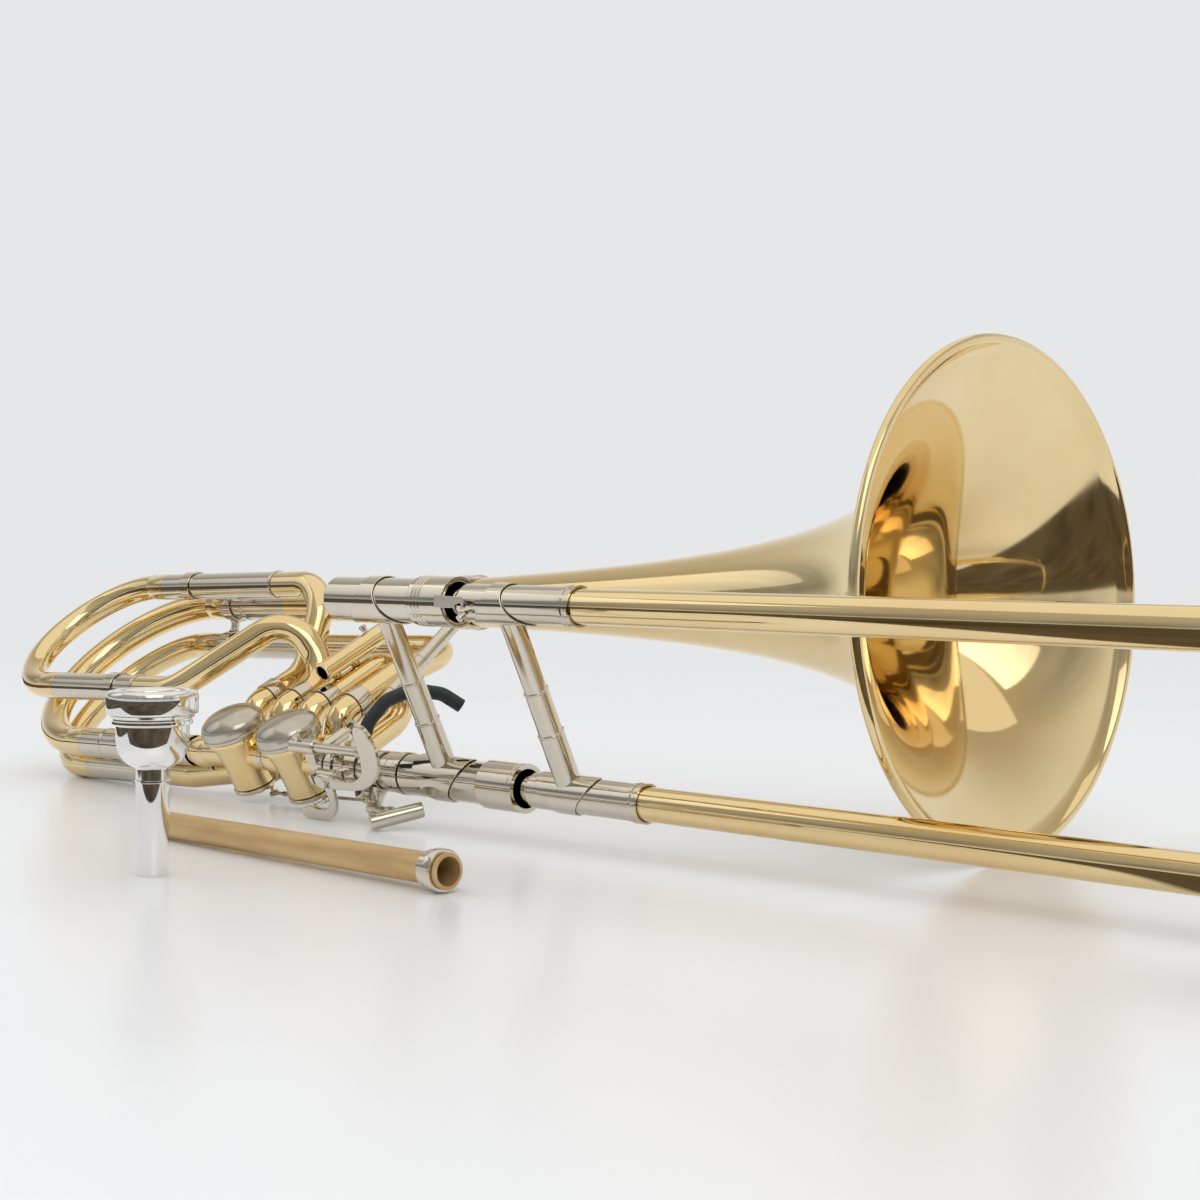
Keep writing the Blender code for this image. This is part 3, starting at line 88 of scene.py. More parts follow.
# The photograph's camera, and where the table ends: ahead of it and to its left
EYE = CORNER + Vector((0.4728, -0.7785, 0.1380))
LEVEL = Vector((-0.6822, 0.7312, 0.0))
ACROSS = Vector((0.7312, 0.6822, 0.0))
PITCH = radians(1.175)
EDGE_AHEAD = 0.716
BACK_AHEAD = 2.83
END_BESIDE = 0.60
FLOOR_SIZE = 20.0
EDGE_BLUR = 0.004

# Offsets of the tubing lines from the bell's axis (y, z)
TAIL = (0.0, 0.0)
MAIN = (LOWER_LEG_Y, -0.0840)
GB_LOWER = (-0.1150, -0.0487)
GB_UPPER = (-0.0340, 0.0124)
F_LOWER = (-0.0970, -0.0996)
F_UPPER = (-0.0042, -0.0268)

# Sizes that pieces share: clearance, walls and radii
GAP = 0.0003
LOOP_RADIUS = 0.0080
LOOP_SLEEVE = 0.0083
MAIN_SLEEVE = 0.0091
TAIL_SLEEVE = 0.0099
SLEEVE_WALL = 0.00045
MAIN_BORE = 0.0075
INNER_TUBE = 0.0072
OUTER_TUBE = 0.0081
OUTER_SLEEVE = 0.0089
BARREL = 0.0108
SADDLE_WALL = 0.0009
PIN = 0.0015
POST = 0.0024
STRAP = 0.0026

# The bell's curve, and where its tail begins
FLARE_GAIN = 0.005022
FLARE_SHIFT = 0.04215
FLARE_BASE = 0.0015
BELL_TAIL_X = -0.520

# Where the loops leave their sleeves and bend, along the bell's axis
GB_LOWER_FRONT_X = -0.521
GB_UPPER_FRONT_X = -0.492
F_LOWER_FRONT_X = -0.521
F_UPPER_FRONT_X = -0.496
GB_LOWER_BEND_X = -0.488
GB_UPPER_BEND_X = -0.446
F_LOWER_BEND_X = -0.492
F_OUTLET_Q = -0.022
F_OUTLET_FAR_P = 0.092

# Valves: the casing's ends and wall, the stubs and the rotor's arm
CASING_LOW_Q = -0.0180
CASING_TOP_Q = 0.0135
CASING_WALL = 0.0011
FRONT_STUB = 0.0213
BACK_STUB = 0.0245
REAR_STUB = 0.0455
ARM_Q = -0.0238
ARM_LENGTH = 0.0070
FRONT_LINK_Q = -0.0272
REAR_LINK_Q = -0.0290
PLATE_TOP_Q = -0.0183
SPINDLE = 0.0022

# Stations along the slide and the main line
SLEEVE_BACK_X = -0.195
CROOK_START_X = 0.434
WATER_KEY_X = 0.405
DRAIN_X = 0.4215
SOCKET_Q = 0.0295
SOCKET_OPEN_P = 0.044
SOCKET_FAR_P = 0.098
BELL_BRACE_X = -0.3540
THUMB_X = -0.3450
THUMB_Q = 0.0138
GRIP_P = 0.0150
DRIVE_P = 0.0168
PADDLE_X = -0.3265
PADDLE_P = -0.0215
PADDLE_Q = 0.0080
T_BAR_X = -0.3110
MOUTHPIECE_TOP = 0.0815

ROUND_STEPS = 64


def lower_leg(x):
    return CORNER + Vector((x, LOWER_LEG_Y, LOWER_LEG_Z - SLIDE_FALL * x))


def upper_leg(x):
    return lower_leg(x) + Q_AXIS * LEG_SPACING


def bell_line(x, offset=TAIL):
    return CORNER + Vector((x, offset[0], BELL_AXIS_Z + BELL_RISE * x + offset[1]))


def main_line(x, p=0.0, q=0.0):
    base = lower_leg(x) if x > BEND_X else bell_line(x, MAIN)
    return base + P_AXIS * p + Q_AXIS * q


def linear(code):
    """The linear colour of an sRGB hex value such as D8B060."""
    channels = [int(code[at:at + 2], 16) / 255.0 for at in (0, 2, 4)]
    return [c / 12.92 if c <= 0.04045 else ((c + 0.055) / 1.055) ** 2.4 for c in channels] + [1.0]


# Shapes

def across(axis):
    side = UP.cross(axis)
    if side.length < 0.2:
        side = Vector((0.0, 1.0, 0.0))
    return (side - axis * side.dot(axis)).normalized()


def turned(shape, start, axis, profile, hollow=False, steps=ROUND_STEPS):
    """Spin a profile of (distance along the axis, radius) into a turned form."""
    axis = axis.normalized()
    side = across(axis)
    verts = [shape.verts.new(start + axis * along + side * radius) for along, radius in profile]
    pairs = list(zip(verts, verts[1:])) + ([(verts[-1], verts[0])] if hollow else [])
    edges = [shape.edges.new(pair) for pair in pairs]
    bmesh.ops.spin(
        shape, geom=verts + edges, cent=start, axis=axis, angle=2.0 * pi, steps=steps,
        use_merge=True, use_duplicate=False,
    )
    if not hollow:
        close_ends(shape)


def close_ends(shape):
    """Cap every open ring."""
    bmesh.ops.remove_doubles(shape, verts=shape.verts, dist=1e-6)
    open_edges = [edge for edge in shape.edges if len(edge.link_faces) == 1]
    if open_edges:
        bmesh.ops.holes_fill(shape, edges=open_edges, sides=0)


def rod(shape, start, end, radius, steps=ROUND_STEPS):
    way = end - start
    turned(shape, start, way, [(0.0, radius), (way.length, radius)], steps=steps)


def sleeve(shape, start, end, outer, bore, steps=ROUND_STEPS):
    way = end - start
    length = way.length
    profile = [(0.0, outer), (length, outer), (length, bore), (0.0, bore)]
    turned(shape, start, way, profile, hollow=True, steps=steps)


def saddle(shape, centre, axis, toward, seat, wall, longest, shortest):
    """A band round a tube, long on the side toward the rod that stands on it."""
    first = len(shape.verts)
    reach = axis * longest
    sleeve(shape, centre - reach, centre + reach, seat + wall, seat, 72)
    shape.verts.ensure_lookup_table()
    toward = (toward - axis * toward.dot(axis)).normalized()
    for vert in shape.verts[first:]:
        along = (vert.co - centre).dot(axis)
        side = (vert.co - centre - axis * along).normalized().dot(toward)
        share = (0.5 + 0.5 * side) ** 1.5
        vert.co += axis * along * ((shortest + (longest - shortest) * share) / longest - 1.0)


def ball(shape, centre, radius):
    bmesh.ops.create_uvsphere(
        shape, u_segments=28, v_segments=16, radius=radius, matrix=Matrix.Translation(centre)
    )


def tube(shape, points, radii, sides=11):
    """A round pipe along points, by way of a curve; radii is one value or one for each."""
    if not isinstance(radii, list):
        radii = [radii] * len(points)
    curve = bpy.data.curves.new("route", "CURVE")
    curve.dimensions = "3D"
    curve.bevel_depth = 1.0
    curve.bevel_resolution = sides
    curve.use_fill_caps = True
    spline = curve.splines.new("POLY")
    spline.points.add(len(points) - 1)
    for spot, point, radius in zip(spline.points, points, radii):
        spot.co = (*point, 1.0)
        spot.radius = radius
    holder = bpy.data.objects.new("route", curve)
    mesh = bpy.data.meshes.new_from_object(holder)
    shape.from_mesh(mesh)
    bpy.data.objects.remove(holder)
    bpy.data.curves.remove(curve)
    bpy.data.meshes.remove(mesh)
    bmesh.ops.remove_doubles(shape, verts=shape.verts, dist=1e-6)


def plate(shape, outline, origin, right, up, thickness):
    """A flat plate: the outline is (right, up) points, thickened square to both."""
    normal = right.cross(up).normalized()
    face = shape.faces.new([
        shape.verts.new(origin + right * x + up * y - normal * thickness / 2.0) for x, y in outline
    ])
    grown = bmesh.ops.extrude_face_region(shape, geom=[face])
    moved = [item for item in grown["geom"] if isinstance(item, bmesh.types.BMVert)]
    bmesh.ops.translate(shape, verts=moved, vec=normal * thickness)


def smooth_line(points, steps=6):
    """A soft line through points of any size, as a Catmull-Rom spline."""
    spots = [Vector(point) for point in points]
    line = []
    for count in range(len(spots) - 1):
        a = spots[max(count - 1, 0)]
        b, c = spots[count], spots[count + 1]
        d = spots[min(count + 2, len(spots) - 1)]
        for step in range(steps):
            t = step / steps
            line.append(0.5 * (
                2.0 * b + (c - a) * t + (2.0 * a - 5.0 * b + 4.0 * c - d) * t * t
                + (3.0 * b - a - 3.0 * c + d) * t ** 3
            ))
    return line + [spots[-1]]


def strap(shape, spots, origin, right, up, thickness):
    """A flat strap along (right, up, width) spots, drawn as one soft line."""
    line = smooth_line(spots)
    lefts, rights = [], []
    for count, spot in enumerate(line):
        before, after = line[max(count - 1, 0)], line[min(count + 1, len(line) - 1)]
        along = (after - before).to_2d().normalized()
        offset = Vector((-along.y, along.x)) * spot.z / 2.0
        lefts.append(spot.to_2d() + offset)
        rights.append(spot.to_2d() - offset)
    plate(shape, lefts + rights[::-1], origin, right, up, thickness)


def bent_route(corners, bend, step=radians(5.0)):
    """Straight runs between corners, with a round bend at each inner corner."""
    route = [corners[0]]
    for before, corner, after in zip(corners, corners[1:], corners[2:]):
        arriving = (corner - before).normalized()
        leaving = (after - corner).normalized()
        turn = arriving.angle(leaving)
        pivot = arriving.cross(leaving).normalized()
        start = corner - arriving * bend * tan(turn / 2.0)
        centre = start + pivot.cross(arriving) * bend
        steps = max(2, ceil(turn / step))
        for count in range(steps + 1):
            turned_by = Matrix.Rotation(turn * count / steps, 3, pivot)
            route.append(centre + turned_by @ (start - centre))
    route.append(corners[-1])
    return route


def half_turn(first, second, outward, steps=36, reach=None):
    centre = (first + second) / 2.0
    arm = first - centre
    reach = outward.normalized() * (reach or arm.length)
    turns = [pi * count / steps for count in range(steps + 1)]
    return [centre + arm * cos(turn) + reach * sin(turn) for turn in turns]


# Finishes

def add_node(tree, kind, settings=None, links=None):
    """Add a node, set its values and link its inputs."""
    node = tree.nodes.new(kind)
    for key, value in (settings or {}).items():
        if isinstance(key, str) and hasattr(node, key):
            setattr(node, key, value)
        else:
            node.inputs[key].default_value = value
    for key, output in (links or {}).items():
        tree.links.new(output, node.inputs[key])
    return node


def new_finish(name):
    material = bpy.data.materials.new(name)
    material.use_nodes = True
    tree = material.node_tree
    shader = tree.nodes["Principled BSDF"]
    place = add_node(tree, "ShaderNodeTexCoord")
    return material, tree, shader, place.outputs["Object"]


def per_mm(size):
    """The noise scale whose grains are this many millimetres across."""
    return 1000.0 / size


def mottle(tree, place, size, low, high, detail=3.0):
    """A value that wanders between low and high over patches of this size in mm."""
    noise = add_node(tree, "ShaderNodeTexNoise", {"Scale": per_mm(size), "Detail": detail}, {
        "Vector": place,
    })
    spread = add_node(tree, "ShaderNodeMapRange", {
        "From Min": 0.3, "From Max": 0.7, "To Min": low, "To Max": high,
    }, {"Value": noise.outputs["Fac"]})
    return spread.outputs["Result"]


def shade(colour):
    """A colour from a hex value, or one that a setting holds."""
    return linear(colour) if isinstance(colour, str) else tuple(colour)


def tinted(tree, place, size, first, second):
    """Two colours that drift into each other over patches of this size in mm."""
    share = mottle(tree, place, size, 0.0, 1.0)
    mix = add_node(tree, "ShaderNodeMix", {"data_type": "RGBA"}, {"Factor": share})
    mix.inputs[6].default_value = shade(first)
    mix.inputs[7].default_value = shade(second)
    return mix.outputs[2]


def chosen():
    """The settings of the sidebar."""
    return bpy.context.scene.trombone


def dress(name, colours, haze, grain=None, metallic=1.0, stretch=None):
    """A finish from (size in mm, two colours), (size, low, high) haze and a fine grain.

    The grain is (size in mm, depth in mm, strength, detail).
    """
    material, tree, shader, place = new_finish(name)
    along = place
    if stretch:
        mapping = add_node(tree, "ShaderNodeMapping", {"Scale": stretch}, {"Vector": place})
        along = mapping.outputs["Vector"]
    tree.links.new(tinted(tree, along, *colours), shader.inputs["Base Color"])
    tree.links.new(mottle(tree, place, *haze), shader.inputs["Roughness"])
    if grain:
        size, depth, strength, detail = grain
        skin = add_node(tree, "ShaderNodeBump", {
            "Distance": depth / 1000.0, "Strength": strength,
        }, {"Height": mottle(tree, along, size, 0.0, 1.0, detail)})
        tree.links.new(skin.outputs["Normal"], shader.inputs["Normal"])
    shader.inputs["Metallic"].default_value = metallic
    return material, shader


def lacquered_brass():
    """Buffed yellow brass under clear lacquer: deep warm mirror with a faint soft haze."""
    material, shader = dress(
        "Lacquered yellow brass", (90.0, chosen().brass, "ECD099"), (25.0, 0.055, 0.095),
        (6.0, 0.004, 0.25, 1.0),
    )
    shader.inputs["Coat Weight"].default_value = 0.25
    shader.inputs["Coat Roughness"].default_value = 0.04
    return material


def polished_nickel():
    """Nickel-plated nickel silver, buffed: a warm grey mirror with fine buffing haze."""
    return dress(
        "Buffed nickel plate", (60.0, chosen().nickel, "D2CABA"), (14.0, 0.05, 0.10),
        (5.0, 0.003, 0.2, 1.0),
    )[0]


def brushed_nickel():
    """Bare nickel silver of the valve caps, turned and only lightly buffed: dull and soft."""
    return dress(
        "Satin nickel silver", (20.0, "CCC6BA", "BDB6A8"), (5.0, 0.16, 0.27),
        (2.0, 0.006, 0.25, 3.0),
    )[0]


def silver_plate():
    """Bright silver plate over turned brass: a clean white mirror."""
    return dress("Bright silver plate", (30.0, chosen().silver, "EAE9E6"), (9.0, 0.03, 0.06))[0]


def tarnished_brass():
    """Bare drawn brass, handled and tarnished: matte brown-gold with darker patches."""
    return dress(
        "Tarnished drawn brass", (9.0, "DDBE8A", "BE9A62"), (4.0, 0.36, 0.50),
        (1.2, 0.02, 0.3, 3.0), metallic=0.5, stretch=(0.12, 1.0, 1.0),
    )[0]


def black_rubber():
    """Moulded black rubber tube: a soft dark grey with a fine pebbled skin."""
    return dress(
        "Moulded black rubber", (12.0, chosen().rubber, "22272B"), (3.0, 0.42, 0.58),
        (0.8, 0.03, 0.4, 3.0), metallic=0.0,
    )[0]


FINISHES = {
    "brass": lacquered_brass,
    "nickel": polished_nickel,
    "satin": brushed_nickel,
    "silver": silver_plate,
    "tarnish": tarnished_brass,
    "rubber": black_rubber,
}
MADE = {}


def finish(name):
    if name not in MADE:
        MADE[name] = FINISHES[name]()
    return MADE[name]


def piece(name, shape, finish_name, body, nodes=(), soften=0.00015, parts=()):
    """Put a bmesh into the scene as a finished piece that stands for some nodes.

    parts are (finish, test): faces whose middle passes the test take that finish.
    """
    bmesh.ops.recalc_face_normals(shape, faces=shape.faces)
    for face in shape.faces:
        face.smooth = True
        middle = face.calc_center_median()
        for count, (_, holds) in enumerate(parts):
            if holds(middle):
                face.material_index = count + 1
    mesh = bpy.data.meshes.new(name)
    shape.to_mesh(mesh)
    shape.free()
    mesh.set_sharp_from_angle(angle=radians(32.0))
    for used in (finish_name, *(part[0] for part in parts)):
        mesh.materials.append(finish(used))
    made = bpy.data.objects.new(name, mesh)
    bpy.context.scene.collection.objects.link(made)
    if soften:
        bevel = made.modifiers.new("edge", "BEVEL")
        bevel.width = soften
        bevel.segments = 2
        bevel.limit_method = "ANGLE"
        bevel.angle_limit = radians(32.0)
        bevel.use_clamp_overlap = True
        bevel.harden_normals = False
    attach(made, body)
    if nodes:
        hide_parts(*nodes)
    return made


BODY_OF = {
    node: body for body, nodes in frame["record"]["behaviour"]["bodies"].items() for node in nodes
}


def stand_in(node, shape, finish_name, **options):
    """A fine piece for one node, on that node's body."""
    return piece(f"fine_{node}", shape, finish_name, BODY_OF[node], (node,), **options)


# Bell section

def flare(x):
    return FLARE_GAIN / (FLARE_SHIFT - x) + FLARE_BASE


def make_bell(settings):
    tail, lip = BELL_TAIL_X, -0.0030
    stations = 150
    tail_reach, lip_reach = FLARE_SHIFT - tail, FLARE_SHIFT - lip
    shares = [count / stations for count in range(stations + 1)]
    xs = [FLARE_SHIFT - tail_reach * (lip_reach / tail_reach) ** share for share in shares]
    outside = [(x - tail, flare(x)) for x in xs]
    inside = [(along, radius - settings.bell_wall) for along, radius in outside[::-1]]
    wire = MOUTH_RADIUS - RIM_WIRE
    bead = []
    for count in range(22):
        turn = radians(192.0 - 12.0 * count)
        bead.append((RIM_WIRE * cos(turn) - tail, wire + RIM_WIRE * sin(turn)))
    shape = bmesh.new()
    turned(shape, bell_line(tail), BELL_AXIS, outside + bead + inside, hollow=True, steps=160)
    stand_in("bell", shape, "brass", soften=0.0)


def make_sleeves():
    loop, wall, bead = LOOP_SLEEVE, SLEEVE_WALL, 0.0024
    rows = (
        ("gb_sleeve_lower", GB_LOWER, -0.6080, GB_LOWER_FRONT_X, loop, None),
        ("gb_sleeve_upper", GB_UPPER, -0.6080, GB_UPPER_FRONT_X, loop, None),
        ("f_sleeve_lower", F_LOWER, -0.5970, F_LOWER_FRONT_X, loop, None),
        ("f_sleeve_upper", F_UPPER, -0.5970, F_UPPER_FRONT_X, loop, None),
        ("main_sleeve_lower", MAIN, -0.5880, -0.4758, MAIN_SLEEVE, -0.5675),
        ("main_sleeve_upper", TAIL, -0.5880, -0.5203, TAIL_SLEEVE, -0.5663),
    )
    for name, offset, back, front, outer, bead_x in rows:
        start = bell_line(back, offset)
        length = (bell_line(front, offset) - start).length
        at = length - bead if bead_x is None else bead_x - back
        profile = [(0.0, outer), (at, outer)]
        for count in range(9):
            turn = pi * count / 8.0
            profile.append((at + bead / 2.0 * (1.0 - cos(turn)), outer + 0.0006 * sin(turn) ** 0.5))
        profile += [(length, outer), (length, outer - wall), (0.0, outer - wall)]
        shape = bmesh.new()
        turned(shape, start, BELL_AXIS, profile, hollow=True)
        stand_in(name, shape, "nickel", soften=0.0001)


def make_tuning_slides():
    ferrule, leg_length = 0.0147, 0.070
    loops, bends = (LOOP_SLEEVE, LOOP_SLEEVE), (LOOP_RADIUS, LOOP_RADIUS)
    rows = (
        ("gb", -0.623, (GB_LOWER, GB_UPPER), loops, bends, 0.0506),
        ("f", -0.612, (F_LOWER, F_UPPER), loops, bends, 0.0480),
        ("main", -0.603, (MAIN, TAIL), (MAIN_SLEEVE, TAIL_SLEEVE), (0.0088, 0.0097), 0.0720),
    )
    for name, bow_x, offsets, sleeves, bows, reach in rows:
        ends = [bell_line(bow_x, offset) for offset in offsets]
        steps = 48
        bow = half_turn(*ends, -BELL_AXIS, steps=steps, reach=reach)
        radii = [bows[0] + (bows[1] - bows[0]) * count / steps for count in range(steps + 1)]
        shape = bmesh.new()
        tube(shape, bow, radii, 13)
        for end, outer, radius in zip(ends, sleeves, bows):
            leg = outer - SLEEVE_WALL - GAP
            turned(shape, end, BELL_AXIS, [
                (-0.0010, radius - 0.0002), (-0.0008, outer - 0.0002), (-0.0002, outer),
                (ferrule, outer), (ferrule, leg), (leg_length, leg),
                (leg_length, leg - 0.0005), (-0.0010, leg - 0.0005),
            ], hollow=True)
        edge = CORNER.x + bow_x + ferrule + 0.0002
        stand_in(f"{name}_tuning_slide", shape, "brass", parts=[
            ("nickel", lambda middle, edge=edge: middle.x > edge)
        ])


def port(valve_x, side):
    return main_line(valve_x + side * PORT_SPACING, PORT_END_P, PORT_Q)


def make_loop_tubes():
    seam = P_AXIS * GAP
    behind = BELL_AXIS * GAP
    out_x = FRONT_VALVE_X - PORT_SPACING
    gb_in, gb_out = port(REAR_VALVE_X, -1) + seam, port(REAR_VALVE_X, 1) + seam
    f_in, f_out = port(FRONT_VALVE_X, 1) + seam, port(FRONT_VALVE_X, -1) + seam
    routes = {
        "gb_inlet_tube": ([
            bell_line(GB_UPPER_FRONT_X, GB_UPPER) + behind, bell_line(GB_UPPER_BEND_X, GB_UPPER),
            gb_in + P_AXIS * 0.031, gb_in,
        ], 0.024),
        "gb_outlet_tube": ([
            bell_line(GB_LOWER_FRONT_X, GB_LOWER) + behind, bell_line(GB_LOWER_BEND_X, GB_LOWER),
            CORNER + Vector((-0.438, -0.068, 0.106)), gb_out + P_AXIS * 0.029, gb_out,
        ], 0.0205),
        "f_inlet_tube": ([
            bell_line(F_UPPER_FRONT_X, F_UPPER) + behind,
            bell_line(FRONT_VALVE_X + PORT_SPACING, F_UPPER), f_in + P_AXIS * 0.036, f_in,
        ], 0.019),
        "f_outlet_tube": ([
            bell_line(F_LOWER_FRONT_X, F_LOWER) + behind, bell_line(F_LOWER_BEND_X, F_LOWER),
            main_line(out_x, 0.035, F_OUTLET_Q), main_line(out_x, F_OUTLET_FAR_P, F_OUTLET_Q),
            main_line(out_x, F_OUTLET_FAR_P, PORT_Q), f_out,
        ], 0.0179),
    }
    for name, (corners, bend) in routes.items():
        end = corners[-1]
        shape = bmesh.new()
        tube(shape, bent_route(corners, bend), LOOP_RADIUS, 13)
        turned(shape, end, P_AXIS, [
            (0.0, 0.0078), (0.0, 0.0089), (0.0092, 0.0089), (0.0100, 0.0084), (0.0100, 0.0078),
        ], hollow=True)
        stand_in(name, shape, "brass", parts=[("nickel", near(end, 0.0125))])


def near(spot, reach):
    """A test for faces whose middle is within reach of a spot."""
    return lambda middle: (middle - spot).length < reach


# Valves

def casing(q):
    """The casing's outer radius at a height q: it widens towards the cap."""
    share = (q - CASING_LOW_Q) / (CASING_TOP_Q - CASING_LOW_Q)
    return 0.0126 + 0.0042 * share ** 2.6


def end_in_wall(shape, foot, way):
    """Move what reaches into the rotor's chamber out along way, to the middle of the wall."""
    chamber_depth, wall_middle, inner_reach = 0.0012, 0.0006, 0.0165
    beside = Q_AXIS.cross(way).normalized()
    for vert in shape.verts:
        place = vert.co - foot
        outside = casing(min(max(place.dot(Q_AXIS), CASING_LOW_Q), CASING_TOP_Q))
        chamber, wall = outside - chamber_depth, outside - wall_middle
        along, aside = place.dot(way), place.dot(beside)
        if along > 0.0 and along * along + aside * aside < chamber * chamber:
            vert.co += way * ((wall * wall - aside * aside) ** 0.5 - along)
    inner = [face for face in shape.faces if len(face.verts) > 8 and all(
        (vert.co - foot - Q_AXIS * (vert.co - foot).dot(Q_AXIS)).length < inner_reach
        for vert in face.verts
    )]
    bmesh.ops.delete(shape, geom=inner, context="FACES_ONLY")


def make_valves():
    rows = (
        ("front", FRONT_VALVE_X, BACK_STUB, 0.0175),
        ("rear", REAR_VALVE_X, REAR_STUB, 0.0365),
    )
    for name, x, back_reach, knuckle in rows:
        foot = main_line(x)
        shape = bmesh.new()
        tall = CASING_TOP_Q - CASING_LOW_Q
        qs = [CASING_LOW_Q + tall * count / 24.0 for count in range(25)]
        outside = [(q, casing(q)) for q in qs]
        outside[-3:] = [(0.0112, casing(0.0112)), (0.0114, 0.0171), (CASING_TOP_Q, 0.0171)]
        inside = [(q, casing(q) - CASING_WALL) for q in qs[::-1]]
        turned(shape, foot, Q_AXIS, outside + inside, hollow=True, steps=96)
        back = (main_line(x - back_reach) - foot).normalized()
        profile = [(0.0085, LOOP_RADIUS), (knuckle - 0.0070, LOOP_RADIUS)]
        for count in range(13):
            turn = pi * count / 12.0
            profile.append((knuckle - 0.0062 * cos(turn), LOOP_RADIUS + 0.0012 * sin(turn)))
        profile += [(knuckle + 0.0070, LOOP_RADIUS), (back_reach, LOOP_RADIUS)]
        turned(shape, foot, back, profile)
        end_in_wall(shape, foot, back)
        rod(shape, foot + SLIDE_AXIS * 0.012, foot + SLIDE_AXIS * FRONT_STUB, LOOP_RADIUS)
        end_in_wall(shape, foot, SLIDE_AXIS)
        for side in (-1, 1):
            port_x = x + side * PORT_SPACING
            corners = [
                main_line(port_x, 0.006, 0.001), main_line(port_x, 0.0185, 0.001),
                main_line(port_x, 0.0275, PORT_Q), main_line(port_x, PORT_END_P, PORT_Q),
            ]
            tube(shape, bent_route(corners, 0.0100), LOOP_RADIUS, 13)
        end_in_wall(shape, foot, P_AXIS)
        stand_in(f"{name}_valve_casing", shape, "brass", soften=0.0001)
        make_cap(name, foot)
        make_plate(name, foot)


def make_cap(name, foot):
    """The domed screw cap: a plain crown over a rim with a fine groove."""
    low, crown, radius = 0.0138, 0.0276, 0.0183
    profile = [
        (low, 0.0), (low, radius - 0.0008), (low + 0.0005, radius), (low + 0.0022, radius),
        (low + 0.0024, radius - 0.0004), (low + 0.0029, radius - 0.0004), (low + 0.0031, radius),
        (low + 0.0046, radius),
    ]
    rise = crown - (low + 0.0050)
    for count in range(1, 25):
        turn = pi / 2.0 * count / 24.0
        width = (radius - 0.0002) * cos(turn) ** 0.86 if count < 24 else 0.0
        profile.append((low + 0.0050 + rise * sin(turn), width))
    shape = bmesh.new()
    turned(shape, foot, Q_AXIS, profile, steps=96)
    stand_in(f"{name}_valve_cap", shape, "satin", soften=0.0001)


def make_plate(name, foot):
    top = PLATE_TOP_Q
    shape = bmesh.new()
    turned(shape, foot, Q_AXIS, [
        (top, 0.0121), (top - 0.0006, 0.0133), (top - 0.0013, 0.0133), (top - 0.0015, 0.0130),
        (top - 0.0018, 0.0133), (top - 0.0024, 0.0133), (top - 0.0030, 0.0124),
        (top - 0.0030, 0.0025), (top, 0.0025),
    ], hollow=True)
    stand_in(f"{name}_bearing_plate", shape, "nickel", soften=0.0)


def make_rotors():
    rows = (("front", FRONT_VALVE_X, FRONT_LINK_Q), ("rear", REAR_VALVE_X, REAR_LINK_Q))
    for name, x, link_q in rows:
        foot = main_line(x)
        shape = bmesh.new()
        low, high = -0.0170, 0.0125
        turned(shape, foot, Q_AXIS, [
            (-0.0258, SPINDLE), (low, SPINDLE), (low, casing(low) - 0.0019),
            (0.0, casing(0.0) - 0.0023), (high, casing(high) - 0.0019), (high, SPINDLE),
            (high + 0.0004, SPINDLE),
        ])
        reach = SLIDE_AXIS * cos(pi / 4.0) + P_AXIS * sin(pi / 4.0)
        hub = foot + Q_AXIS * ARM_Q
        strap(shape, [
            (-0.0034, 0.0, 0.0066), (0.0, 0.0, 0.0070), (ARM_LENGTH, 0.0, 0.0044),
            (0.009, 0.0, 0.0020),
        ], hub, reach, Q_AXIS.cross(reach), 0.0020)
        pin = hub + reach * ARM_LENGTH
        rod(shape, pin + Q_AXIS * 0.0004, pin + Q_AXIS * (link_q - ARM_Q - 0.0010), 0.0011, 24)
        stand_in(f"{name}_rotor", shape, "brass", soften=0.0002)


# Main line, slide and braces

def make_main_line():
    gap = SLIDE_AXIS * GAP
    start = main_line(REAR_VALVE_X) + SLIDE_AXIS * FRONT_STUB + gap
    end = main_line(FRONT_VALVE_X) - SLIDE_AXIS * BACK_STUB - gap
    shape = bmesh.new()
    sleeve(shape, start, end, 0.0082, MAIN_BORE)
    stand_in("valve_link_tube", shape, "nickel")
    start = main_line(FRONT_VALVE_X) + SLIDE_AXIS * FRONT_STUB + gap
    length = (lower_leg(-0.3025) - start).length
    shape = bmesh.new()
    turned(shape, start, SLIDE_AXIS, [
        (0.0, 0.0083), (0.0217, 0.0083), (0.0227, 0.0084), (0.0247, 0.0092), (0.0257, 0.0094),
        (length - 0.0060, 0.0094), (length - 0.0058, 0.0096), (length - 0.0044, 0.0096),
        (length - 0.0042, 0.0094), (length, 0.0094), (length, 0.0088), (0.0337, 0.0088),
        (0.0307, MAIN_BORE), (0.0, MAIN_BORE),
    ], hollow=True)
    stand_in("bell_receiver", shape, "nickel", soften=0.0001)
    shape = bmesh.new()
    turned(shape, lower_leg(-0.3020), SLIDE_AXIS, [
        (0.0, 0.0100), (0.0006, 0.0106), (0.0042, 0.0106), (0.0044, 0.0103), (0.0048, 0.0103),
        (0.0050, 0.0106), (0.0100, 0.0106), (0.0108, 0.0112), (0.0144, 0.0112), (0.0144, 0.0088),
        (0.0, 0.0088),
    ], hollow=True)
    stand_in("bell_lock_nut", shape, "nickel", soften=0.0001)


